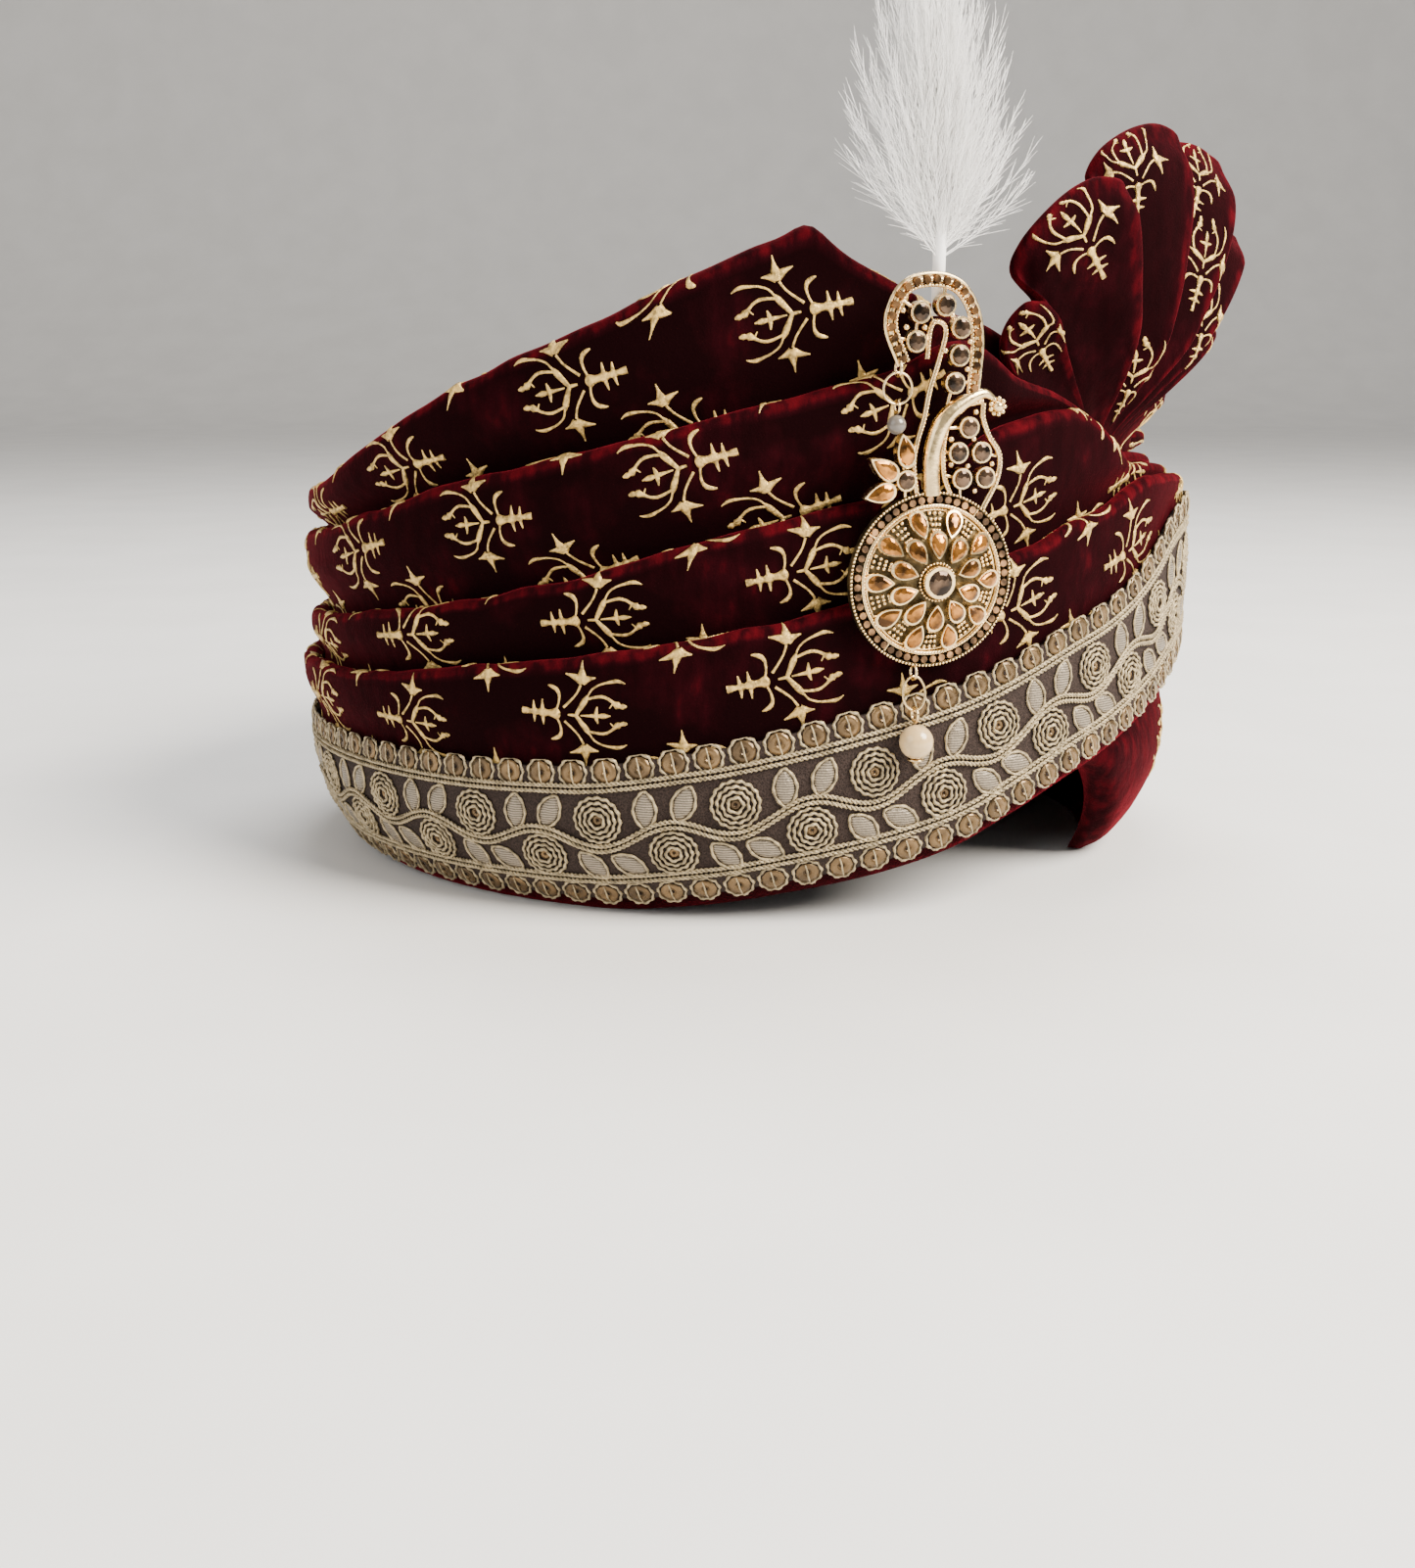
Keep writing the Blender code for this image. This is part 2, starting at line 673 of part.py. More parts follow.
def turned_disc(builder, segments):
    """The disc: domed plate, raised wire and the channel of small stones round it."""
    thick = METAL_THICKNESS
    profile = (
        (1.000, 0.0), (1.000, thick), (0.935, 1.25 * thick), (0.865, thick), (0.860, 1.5 * thick),
        (WIRE_RING - 0.03, 1.5 * thick), (WIRE_RING - 0.04, 0.70 * thick),
        (0.45, 0.70 * thick), (0.10, 0.70 * thick), (0.10, -0.10 * thick), (0.45, -0.10 * thick),
        (WIRE_RING - 0.04, 0.0),
    )
    rings = []
    for index in range(segments):
        turn = 2.0 * math.pi * (index + 0.3) / segments
        ring = []
        for radius, out in profile:
            point = clip_point(radius * math.cos(turn), radius * math.sin(turn), out)
            if radius < WIRE_RING:
                point.z += dome(point.x, point.y)
            ring.append(builder.verts.new(point))
        rings.append(ring)
    size = len(profile)
    for index, here in enumerate(rings):
        there = rings[(index + 1) % segments]
        for corner in range(size):
            after = (corner + 1) % size
            builder.faces.new((here[corner], here[after], there[after], there[corner]))


def petal_places():
    """Place, point angle and name of each drop-shaped stone on the disc."""
    found = []
    for ring, radius, shift in (("inner", INNER_RING, 0.0), ("outer", OUTER_RING, 0.5)):
        for index in range(PETAL_COUNT):
            angle = 360.0 * (index + shift) / PETAL_COUNT
            turn = math.radians(angle)
            name = "stone_%s_%02d" % (ring, index + 1)
            found.append((name, -radius * math.sin(turn), radius * math.cos(turn), angle + 180.0))
    return found


def round_places():
    found = [("stone_hook_%02d" % (i + 1), p) for i, p in enumerate(HOOK_STONES)]
    found += [("stone_paisley_%02d" % (i + 1), p) for i, p in enumerate(PAISLEY_STONES)]
    found.append(("stone_side", SIDE_STONE))
    return found


def make_frame(parent):
    """All the soldered metal of the clip, as one solid."""
    thick = METAL_THICKNESS
    base = bmesh.new()
    turned_disc(base, 24)
    frame = finish(base, "brooch_frame", "gilt", parent)
    parts = bmesh.new()
    add_prism(parts, round_outline(0.0, 0.0, CENTRE_SETTING, 12), -0.04 * thick, 1.5 * thick, domed=True)
    for name, right, up, angle in petal_places():
        outline = drop_outline(right, up, PETAL_LENGTH, PETAL_WIDTH, angle, 8)
        low = 0.12 * thick if "inner" in name else 0.20 * thick
        add_prism(parts, outline, low, 1.25 * thick, domed=True)
    for index, (name, (right, up)) in enumerate(round_places()):
        low = 0.04 * thick * (1 + index % 3)
        add_prism(parts, round_outline(right, up, ROUND_SETTING, 8), low, 1.12 * thick)
    for right, up, lean in LEAF_ROWS:
        add_prism(parts, drop_outline(right, up, LEAF_LENGTH, LEAF_WIDTH, lean, 9), 0.06 * thick, 1.15 * thick)
    add_bar(parts, HOOK_PATH, ROPE_WIDTH, 0.0, 1.3 * thick)
    add_bar(parts, HOOK_INNER_PATH, WIRE_WIDTH, 0.05 * thick, 1.05 * thick)
    add_bar(parts, CRESCENT_PATH, (0.18, 0.17, 0.19, 0.17, 0.13, 0.06), 0.02 * thick, 1.7 * thick)
    add_bar(parts, PAISLEY_LEFT_PATH, WIRE_WIDTH, 0.07 * thick, 1.35 * thick)
    add_bar(parts, PAISLEY_RIGHT_PATH, WIRE_WIDTH, 0.09 * thick, 1.35 * thick)
    for start, end in STRUTS:
        add_bar(parts, (start, end), WIRE_WIDTH * 0.8, 0.22 * thick, 0.75 * thick)
    add_prism(parts, round_outline(0.73, 1.94, 0.11, 8), 0.11 * thick, 2.2 * thick, top_share=0.6)
    for centre in bail_centres():
        add_loop(parts, centre, BAIL_RADIUS, BAIL_RADIUS, 90.0, 1.2 * LINK_WIRE_RADIUS)
    bmesh.ops.recalc_face_normals(parts, faces=parts.faces)
    fuse(frame, finish(parts, "frame_settings", "gilt", parent, recalculate=False))
    return frame


def add_loop(builder, centre, half_height, half_width, turn, wire, lean=0.0):
    """A closed loop of round wire: turn is its angle about the upright axis, in degrees.

    Lean is how far it comes forward for each unit of its way down."""
    steps, sides = 12, 5
    facing = Matrix.Rotation(-math.atan(lean), 4, "X") @ Matrix.Rotation(math.radians(turn), 4, "Y")
    rings = []
    for step in range(steps):
        angle = 2.0 * math.pi * step / steps
        middle = Vector((half_width * math.cos(angle), half_height * math.sin(angle), 0.0))
        out = Vector((math.cos(angle), math.sin(angle), 0.0))
        ring = []
        for side in range(sides):
            around = 2.0 * math.pi * side / sides
            offset = out * math.cos(around) * wire + Vector((0, 0, 1)) * math.sin(around) * wire
            ring.append(centre + facing @ (middle + offset))
        rings.append(ring)
    loft(builder, rings, closed_way=True)


def make_loop(name, centre, half_height, half_width, turn, wire, parent, lean=0.0):
    builder = bmesh.new()
    add_loop(builder, centre, half_height, half_width, turn, wire, lean)
    finish(builder, name, "gilt", parent)


def drop_out(up):
    """How far the hanging drop stands out from the clip's back, at a height in metres."""
    return BAIL_OUT + (-DISC_RADIUS - up) * DROP_LEAN


def bail_centres():
    """The two small loops that are part of the metal: below the disc and at the hook's tip."""
    drop_up = -DISC_RADIUS - 0.75 * BAIL_RADIUS
    return (
        Vector((DROP_LINE * DISC_RADIUS, drop_up, drop_out(drop_up))),
        Vector((SIDE_LINE * DISC_RADIUS, SIDE_BAIL_UP * DISC_RADIUS, BAIL_OUT)),
    )


def ball(builder, centre, radius, rings, sides):
    made = bmesh.ops.create_uvsphere(builder, u_segments=sides, v_segments=rings, radius=radius)
    bmesh.ops.translate(builder, verts=made["verts"], vec=centre)


def make_drops(parent):
    """Jump rings, eyes and pearls below the disc and at the hook's tip."""
    clear = LINK_WIRE_RADIUS * 1.2 + LINK_WIRE_RADIUS + 0.0001
    bail, side_bail = bail_centres()
    top = bail.y - BAIL_RADIUS + clear
    middle = top - LINK_HALF_HEIGHT
    centre = Vector((bail.x, middle, drop_out(middle)))
    make_loop(
        "jump_ring", centre, LINK_HALF_HEIGHT, LINK_HALF_WIDTH, 0.0, LINK_WIRE_RADIUS, parent, DROP_LEAN
    )
    eye_up = middle - LINK_HALF_HEIGHT + clear - BAIL_RADIUS
    eye = Vector((bail.x, eye_up, drop_out(eye_up)))
    make_loop("pearl_eye", eye, BAIL_RADIUS, BAIL_RADIUS, 90.0, 1.2 * LINK_WIRE_RADIUS, parent)
    pearl_up = eye_up - BAIL_RADIUS - LINK_WIRE_RADIUS * 1.2 - STONE_SEAT_GAP - PEARL_RADIUS
    builder = bmesh.new()
    pearl = Vector((bail.x, pearl_up, drop_out(pearl_up) + 0.0004))
    ball(builder, pearl, PEARL_RADIUS, 8, 14)
    finish(builder, "pearl_drop", "pearl", parent)
    builder = bmesh.new()
    cap_low = pearl.y - PEARL_RADIUS - STONE_SEAT_GAP
    ring = bmesh.ops.create_cone(
        builder, cap_ends=True, segments=10, radius1=0.5 * PEARL_RADIUS, radius2=0.25 * PEARL_RADIUS,
        depth=0.25 * PEARL_RADIUS, matrix=Matrix.Rotation(math.radians(90.0), 4, "X"),
    )
    bmesh.ops.translate(
        builder, verts=ring["verts"], vec=(pearl.x, cap_low - 0.125 * PEARL_RADIUS, pearl.z)
    )
    finish(builder, "pearl_cap", "gilt", parent)

    side_top = side_bail.y - BAIL_RADIUS + clear
    side_middle = side_top - SIDE_LINK_RADIUS
    side_centre = Vector((side_bail.x, side_middle, BAIL_OUT))
    make_loop("side_ring", side_centre, SIDE_LINK_RADIUS, SIDE_LINK_RADIUS, 0.0, LINK_WIRE_RADIUS, parent)
    side_eye_radius = 0.8 * BAIL_RADIUS
    eye_up = side_middle - SIDE_LINK_RADIUS + clear - side_eye_radius
    side_eye = Vector((side_bail.x, eye_up, BAIL_OUT))
    make_loop("side_eye", side_eye, side_eye_radius, side_eye_radius, 90.0, LINK_WIRE_RADIUS, parent)
    pearl_up = eye_up - side_eye_radius - LINK_WIRE_RADIUS - STONE_SEAT_GAP - SIDE_PEARL_RADIUS
    builder = bmesh.new()
    ball(builder, Vector((side_bail.x, pearl_up, BAIL_OUT)), SIDE_PEARL_RADIUS, 6, 10)
    finish(builder, "pearl_side", "grey_pearl", parent)


def add_stone(name, outline, seat, slot, parent, domed=False):
    """A cut stone: a wide girdle on its setting, a ring of facets and a flat table."""
    builder = bmesh.new()
    low = seat + STONE_SEAT_GAP
    add_prism(builder, outline, low, low + STONE_RISE, top_share=0.55, domed=domed)
    finish(builder, name, slot, parent)


def make_stones(parent):
    thick = METAL_THICKNESS
    centre = round_outline(0.0, 0.0, CENTRE_STONE, 12)
    add_stone("stone_centre", centre, 1.5 * thick, "smoky_stone", parent, domed=True)
    for name, right, up, angle in petal_places():
        size = STONE_SHARE
        outline = drop_outline(right, up, PETAL_LENGTH * size, PETAL_WIDTH * size, angle, 8)
        add_stone(name, outline, 1.25 * thick, "amber_stone", parent, domed=True)
    for name, (right, up) in round_places():
        outline = round_outline(right, up, ROUND_STONE, 8)
        add_stone(name, outline, 1.12 * thick, "smoky_stone", parent)
    for index, (right, up, lean) in enumerate(LEAF_ROWS):
        outline = drop_outline(right, up, LEAF_LENGTH * STONE_SHARE, LEAF_WIDTH * STONE_SHARE, lean, 9)
        add_stone("stone_leaf_%02d" % (index + 1), outline, 1.15 * thick, "amber_stone", parent)


def lock_sections(foot, tip, bend, width, sides, steps):
    """Closed sections along one lock, thin at the foot and the tip and full between."""
    sections = []
    for step in range(steps + 1):
        t = step / steps
        centre = foot.lerp(tip, t) + bend * math.sin(math.pi * t)
        swell = (0.16 + 0.84 * math.sin(math.pi * clamp(0.08 + 0.90 * t)) ** 1.2) * 0.5 * width
        ring = []
        for side in range(sides):
            turn = 2.0 * math.pi * side / sides
            ring.append(centre + Vector((swell * math.cos(turn), 0.0, 0.55 * swell * math.sin(turn))))
        sections.append(ring)
    return sections


def make_plume(parent):
    """The feather: a quill behind the hook, and locks of down that rise from it."""
    foot = Vector((0.03 * DISC_RADIUS, 2.45 * DISC_RADIUS, -QUILL_RADIUS - 0.0003))
    neck = foot + Vector((0.0, 0.32 * PLUME_HEIGHT, 0.0))
    base = bmesh.new()
    sections = []
    for share, swell in ((0.0, 1.0), (0.45, 1.0), (0.8, 1.25), (1.15, 1.6)):
        centre = foot.lerp(neck, share)
        back = Vector((0.0, 0.0, QUILL_RADIUS * (1.0 - swell)))
        ring = []
        for side in range(8):
            turn = 2.0 * math.pi * side / 8
            ring.append(centre + back + QUILL_RADIUS * swell * Vector((math.cos(turn), 0.0, math.sin(turn))))
        sections.append(ring)
    loft(base, sections, closed_way=False, capped=True)
    plume = finish(base, "plume", "feather", parent)
    locks = bmesh.new()
    for index, (right, up, forward, width) in enumerate(LOCK_ROWS):
        start = neck + Vector((0.012 * right, -0.02 * (index % 3), 0.012 * forward)) * PLUME_HEIGHT
        tip = foot + Vector((right, up, forward)) * PLUME_HEIGHT
        bend = Vector((0.05 * right, 0.0, 0.02)) * PLUME_HEIGHT
        sections = lock_sections(start, tip, bend, width * PLUME_HEIGHT * 1.3, 5, 5)
        loft(locks, sections, closed_way=False, capped=True)
    bmesh.ops.recalc_face_normals(locks, faces=locks.faces)
    bmesh.ops.triangulate(locks, faces=locks.faces)
    fuse(plume, finish(locks, "plume_locks", "feather", parent, recalculate=False))


def clip_seat(parent):
    """An empty at the disc's centre: X to the right, Y up along the clip, Z out of its face."""
    angle = math.radians(CLIP_AZIMUTH)
    out = Vector((math.cos(angle) / HALF_WIDTH, math.sin(angle) / HALF_DEPTH, 0.0)).normalized()
    right = Vector((-out.y, out.x, 0.0))
    upright = Vector((0.0, 0.0, 1.0))
    turn = Matrix((right, upright, out)).transposed().to_4x4()
    tilt = Matrix.Rotation(math.radians(CLIP_TILT), 4, "X")
    seat = bpy.data.objects.new("clip_seat", None)
    bpy.context.collection.objects.link(seat)
    seat.parent = parent
    centre = place(CLIP_AZIMUTH, FOLD_SWELL, CLIP_HEIGHT) + out * CLIP_STANDOFF
    seat.matrix_local = Matrix.Translation(centre) @ turn @ tilt
    return seat


def stand_on_origin(root):
    """Moves the whole turban so that the middle of its underside is at the origin."""
    bpy.context.view_layer.update()
    graph = bpy.context.evaluated_depsgraph_get()
    corners = []
    for piece in bpy.data.objects:
        if piece.type != "MESH" or piece.hide_render:
            continue
        seen = piece.evaluated_get(graph)
        corners += [seen.matrix_world @ vertex.co for vertex in seen.data.vertices]
    low = [min(corner[axis] for corner in corners) for axis in range(3)]
    high = [max(corner[axis] for corner in corners) for axis in range(3)]
    root.location = (-0.5 * (low[0] + high[0]), -0.5 * (low[1] + high[1]), -low[2])
    bpy.context.view_layer.update()


def main():
    for piece in list(bpy.data.objects):
        bpy.data.objects.remove(piece, do_unlink=True)
    root = bpy.data.objects.new("turban", None)
    bpy.context.collection.objects.link(root)
    make_crown(root)
    make_wraps(root)
    make_lace(root)
    make_nape(root)
    make_fan(root)
    seat = clip_seat(root)
    make_frame(seat)
    make_stones(seat)
    make_drops(seat)
    make_plume(seat)
    stand_on_origin(root)


main()
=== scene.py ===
"""Dresses the ready-tied velvet turban: cloth, embroidery, lace, clip, pearls, feather and stage.

Metres, +Z up, in the part's own frame. The tables repeat those of the part, so that every piece
lies where its solid does.
"""

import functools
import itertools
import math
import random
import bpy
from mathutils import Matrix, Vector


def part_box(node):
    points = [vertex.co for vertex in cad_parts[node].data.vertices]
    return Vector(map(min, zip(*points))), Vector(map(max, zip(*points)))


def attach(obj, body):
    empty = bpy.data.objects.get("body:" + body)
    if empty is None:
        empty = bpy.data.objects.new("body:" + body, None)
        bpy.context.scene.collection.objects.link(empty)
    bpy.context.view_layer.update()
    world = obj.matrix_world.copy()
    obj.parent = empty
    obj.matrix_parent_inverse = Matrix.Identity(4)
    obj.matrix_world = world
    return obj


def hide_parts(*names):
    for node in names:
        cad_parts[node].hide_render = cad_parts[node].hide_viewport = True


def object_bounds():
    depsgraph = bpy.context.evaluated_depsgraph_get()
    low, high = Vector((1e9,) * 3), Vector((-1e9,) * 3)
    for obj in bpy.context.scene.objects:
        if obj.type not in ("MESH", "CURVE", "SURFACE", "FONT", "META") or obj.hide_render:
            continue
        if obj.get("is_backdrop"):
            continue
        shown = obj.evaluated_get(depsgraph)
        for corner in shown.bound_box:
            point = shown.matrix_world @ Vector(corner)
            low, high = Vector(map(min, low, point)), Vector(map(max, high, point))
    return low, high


bl_info = {
    "name": "Tied Turban",
    "version": (1, 0, 0),
    "blender": (4, 5, 0),
    "location": "View3D > Sidebar > Turban",
    "description": "Dresses the tied turban with velvet, embroidery, lace, a clip and a feather",
    "category": "Add Mesh",
}

import bmesh
import bpy
import numpy as np
from mathutils import Matrix, Vector, noise

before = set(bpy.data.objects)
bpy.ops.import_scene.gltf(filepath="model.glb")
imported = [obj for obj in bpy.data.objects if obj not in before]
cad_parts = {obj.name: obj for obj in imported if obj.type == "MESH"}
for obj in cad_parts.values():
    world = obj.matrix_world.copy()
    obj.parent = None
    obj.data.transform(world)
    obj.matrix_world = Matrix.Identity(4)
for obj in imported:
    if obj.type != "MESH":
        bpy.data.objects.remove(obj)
CAD_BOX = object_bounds()

# Body of the turban, as in the part
HALF_WIDTH = 0.1145
HALF_DEPTH = 0.1085
PEAK_HEIGHT = 0.147
BACK_DROP = 0.06
RIM_PULL = 0.10
RIM_PULL_HEIGHT = 0.030
TOP_LEAN = 0.0018
LEAN_START = 0.100

# Wound cloth, as in the part
WRAP_THICKNESS = 0.0038
LAYER_GAP = 0.0005
TUCK = 0.0075
FOLD_SWELL = 0.0007
FACE_SET_IN = 0.0020
FULL_FACE = 0.014
CROWN_THICKNESS = 0.0040
CROWN_HEIGHT = 0.108
CROWN_SKIRT_RISE = 0.020
CROWN_RIM_DROP = 0.0045
CROWN_GAP = 0.0012
LACE_WIDTH = 0.0350
LACE_THICKNESS = 0.0012
LACE_SEAT_GAP = 0.0003
LACE_SET_IN = 0.0028
HEM_REVEAL = 0.0019
NAPE_THICKNESS = 0.0030
NAPE_START = -45.0
NAPE_LIFT_END = -24.0
NAPE_END = 99.0
NAPE_GAP = 0.0016

# Fan, as in the part
FAN_HEIGHT = 0.0775
FAN_THICKNESS = 0.0026
FAN_AZIMUTH = -32.5
FAN_FOOT_HEIGHT = 0.0950
FAN_RADIUS = 0.104
FAN_ROOT = 0.0075
PLEAT_DEPTH = 0.0085
FAN_FLARE = 0.0085
FAN_POCKET_START = -69.0
FAN_POCKET_END = 2.0
POCKET_BLEND = 9.0
POCKET_GAP = 0.0034
FAN_GAP = 0.0012

# Clip and feather, as in the part
DISC_RADIUS = 0.0186
CLIP_AZIMUTH = -70.5
CLIP_HEIGHT = 0.0768
CLIP_TILT = 2.0
CLIP_STANDOFF = 0.0005
METAL_THICKNESS = 0.0017
DOME_RISE = 0.0034
STONE_RISE = 0.0011
STONE_SEAT_GAP = 0.0001
PEARL_RADIUS = 0.0037
SIDE_PEARL_RADIUS = 0.0020
LINK_WIRE_RADIUS = 0.00028
BAIL_WIRE = 1.2 * LINK_WIRE_RADIUS
BAIL_RADIUS = 0.00155
BAIL_OUT = 0.0014
LINK_HALF_HEIGHT = 0.0037
LINK_HALF_WIDTH = 0.0026
SIDE_LINK_RADIUS = 0.0032
DROP_LEAN = 0.17
DROP_LINE = -0.17
SIDE_LINE = -0.49
SIDE_BAIL_UP = 2.36
PLUME_HEIGHT = 0.0880
QUILL_RADIUS = 0.0013

# Height of each fold at each azimuth, as a share of PEAK_HEIGHT. Lace is a share of LACE_WIDTH.
FOLD_COLUMNS = ("azimuth", "hem", "lace", "edge_1", "edge_2", "edge_3", "edge_4")
FOLD_ROWS = (
    (0.0, 0.338, 1.07, 0.628, 0.645, 0.662, 0.710),
    (15.0, 0.328, 1.15, 0.642, 0.659, 0.676, 0.720),
    (25.0, 0.296, 1.22, 0.651, 0.668, 0.685, 0.732),
    (33.0, 0.264, 1.10, 0.653, 0.671, 0.689, 0.745),
    (40.0, 0.235, 1.02, 0.629, 0.700, 0.720, 0.788),
    (45.0, 0.214, 1.00, 0.609, 0.738, 0.760, 0.813),
    (50.0, 0.194, 1.00, 0.590, 0.760, 0.785, 0.850),
    (58.0, 0.150, 1.02, 0.558, 0.747, 0.809, 0.888),
    (66.0, 0.102, 1.08, 0.531, 0.700, 0.860, 0.900),
    (75.0, 0.069, 1.10, 0.500, 0.644, 0.813, 0.945),
    (85.0, 0.043, 1.07, 0.469, 0.609, 0.781, 1.000),
    (95.0, 0.019, 1.05, 0.438, 0.578, 0.747, 0.950),
    (110.0, 0.000, 1.00, 0.406, 0.519, 0.696, 0.868),
    (125.0, 0.000, 0.96, 0.377, 0.475, 0.653, 0.791),
    (140.0, 0.000, 0.95, 0.350, 0.444, 0.600, 0.706),
    (155.0, 0.000, 0.94, 0.338, 0.419, 0.559, 0.638),
    (180.0, 0.000, 0.93, 0.331, 0.403, 0.538, 0.606),
)

# Pleats of the fan: ridge angle, reach and lean. They fall more freely than in the part. Each
# pleat's profile is (share of the way to the next ridge, drop of its edge, how far it stands out).
PLEAT_ROWS = (
    (-43.0, 0.750, 0.80),
    (-17.0, 0.925, 0.95),
    (5.5, 1.025, 1.15),
    (25.0, 1.045, 1.75),
    (39.0, 0.935, 2.20),
    (52.0, 0.760, 2.30),
    (67.0, 0.580, 2.10),
    (80.0, 0.430, 1.70),
)
FAN_FIRST_ANGLE = -60.0
PLEAT_PROFILE = (
    (0.00, 0.120, 0.00),
    (0.15, 0.055, 0.18),
    (0.45, 0.014, 0.55),
    (0.75, 0.000, 0.86),
    (0.94, 0.030, 1.00),
)

# Places on the clip, as in the part, as shares of DISC_RADIUS: right, then up.
HOOK_PATH = (
    (-0.43, 2.41), (-0.60, 2.80), (-0.54, 3.09), (-0.40, 3.25), (-0.19, 3.31), (0.05, 3.30),
    (0.25, 3.20), (0.40, 2.97), (0.46, 2.66), (0.45, 2.36), (0.43, 2.08),
)
HOOK_INNER_PATH = (
    (-0.14, 2.46), (-0.11, 2.80), (-0.01, 2.86), (0.075, 2.76), (0.01, 2.46), (-0.09, 2.12),
    (-0.145, 1.81), (-0.22, 1.55), (-0.25, 1.30), (-0.20, 0.97),
)
CRESCENT_PATH = (
    (-0.03, 0.96), (-0.05, 1.38), (0.05, 1.74), (0.26, 1.95), (0.54, 2.08), (0.71, 2.01),
)
PAISLEY_LEFT_PATH = (
    (0.56, 2.00), (0.35, 1.95), (0.18, 1.81), (0.10, 1.56), (0.11, 1.21), (0.20, 0.97),
)
PAISLEY_RIGHT_PATH = (
    (0.57, 1.98), (0.57, 1.82), (0.66, 1.61), (0.80, 1.40), (0.78, 1.12), (0.62, 0.80),
)
HOOK_STONES = (
    (-0.30, 2.65), (-0.26, 2.96), (0.04, 3.04), (0.24, 2.80), (0.235, 2.50), (0.19, 2.20),
)
PAISLEY_STONES = (
    (0.39, 1.71), (0.27, 1.43), (0.56, 1.43), (0.33, 1.14), (0.62, 1.15),
)
SIDE_STONE = (-0.36, 1.13)
LEAF_ROWS = (
    (-0.38, 1.46, 14.0),
    (-0.63, 1.27, 58.0),
    (-0.67, 0.99, 104.0),
)
STRUTS = (
    ((-0.58, 2.70), (-0.30, 2.65)),
    ((-0.30, 2.65), (-0.26, 2.96)),
    ((-0.26, 2.96), (-0.50, 3.12)),
    ((0.04, 3.04), (0.05, 3.30)),
    ((0.04, 3.04), (0.24, 2.80)),
    ((0.24, 2.80), (0.46, 2.80)),
    ((0.235, 2.50), (0.46, 2.50)),
    ((0.19, 2.20), (0.45, 2.20)),
    ((0.19, 2.20), (0.12, 1.88)),
    ((0.39, 1.71), (0.14, 1.70)),
    ((0.27, 1.43), (0.10, 1.43)),
    ((0.56, 1.43), (0.80, 1.38)),
    ((0.62, 1.15), (0.80, 1.15)),
    ((0.33, 1.14), (0.12, 1.18)),
    ((0.33, 1.14), (0.34, 0.90)),
    ((-0.36, 1.13), (-0.33, 0.90)),
    ((-0.36, 1.13), (-0.38, 1.40)),
    ((-0.36, 1.13), (-0.60, 1.25)),
    ((-0.36, 1.13), (-0.62, 1.00)),
)
ROUND_SETTING = 0.125
ROUND_STONE = 0.108
CENTRE_SETTING = 0.190
CENTRE_STONE = 0.166
INNER_RING = 0.42
OUTER_RING = 0.675
PETAL_LENGTH = 0.275
PETAL_WIDTH = 0.185
PETAL_COUNT = 10
LEAF_LENGTH = 0.40
LEAF_WIDTH = 0.23
STONE_SHARE = 0.87
WIRE_RING = 0.83
PETAL_FULL = 1.20

# Profiles on the clip: shares of an outline's size, or of the disc's radius, with heights. The
# rims' heights are those of the stones' cups, as shares of the metal's thickness.
CUP_PROFILE = ((1.0, 1.0), (1.0, 1.12), (0.955, 1.22), (0.905, 1.16), (0.885, 0.95))
STONE_CUT = ((0.96, 0.0), (1.0, 0.12), (0.84, 0.66), (0.60, 0.92), (0.26, 1.04))
PLATE_RIM = (
    (0.865, 0.70), (0.870, 0.55), (0.955, 0.50), (0.962, 0.60), (0.965, 1.00), (0.972, 1.15),
    (0.985, 1.18), (1.000, 1.05), (1.005, 0.75), (1.000, 0.10), (0.985, 0.0),
)
PEARL_CAP = ((0.0, 0.0), (0.52, 0.0), (0.44, 0.08), (0.27, 0.16), (0.24, 0.25), (0.0, 0.27))
PETAL_RIM, ROUND_RIM, LEAF_RIM = 1.25, 1.12, 1.15
HOOK_HALF = 0.062
RIM_LINE = 0.845
CRESCENT_WIDTHS = (0.21, 0.21, 0.22, 0.19, 0.13, 0.07)
CURL_PLACE = (0.73, 1.94)
CURL_RADIUS = 0.0016
PEARL_LOOKS = {"pearl": "cream_pearl", "grey_pearl": "grey_pearl"}
CLIP_BALLS = (
    (-0.47, 2.98), (0.06, 2.55), (0.13, 2.93), (0.36, 2.65), (0.34, 2.35), (0.47, 1.88),
    (0.46, 1.58), (0.40, 1.28), (0.50, 1.00), (0.18, 1.58), (0.19, 1.30), (0.70, 1.30),
    (-0.20, 2.80), (-0.42, 2.80),
)

# How far the folds' rolled edges waver, and the small gather on the highest point of the top fold
EDGE_WAVER = 0.0009
NUB_HEIGHT = 0.0030
NUB_AZIMUTH = 276.5
NUB_REACH = 2.4
ROLL_REACH = 0.007

# How the cloths are sampled: a fold's net in even steps up its face, and its section in points
ROWS_ROUND = 360
FACE_STEP = 0.0008
FACE_HIDDEN = 0.0070
FACE_LENGTH = 0.078
FACE_COLUMNS = round((FACE_HIDDEN + FACE_LENGTH) / FACE_STEP)
FOOT_SAMPLES = 3
FACE_SAMPLES = 24
ROLL_SAMPLES = 9
INNER_SAMPLES = 6
FAN_FACE_SAMPLES = 46
FAN_ROLL_SAMPLES = 7
FAN_BACK_SAMPLES = 30
NAPE_FACE = 25

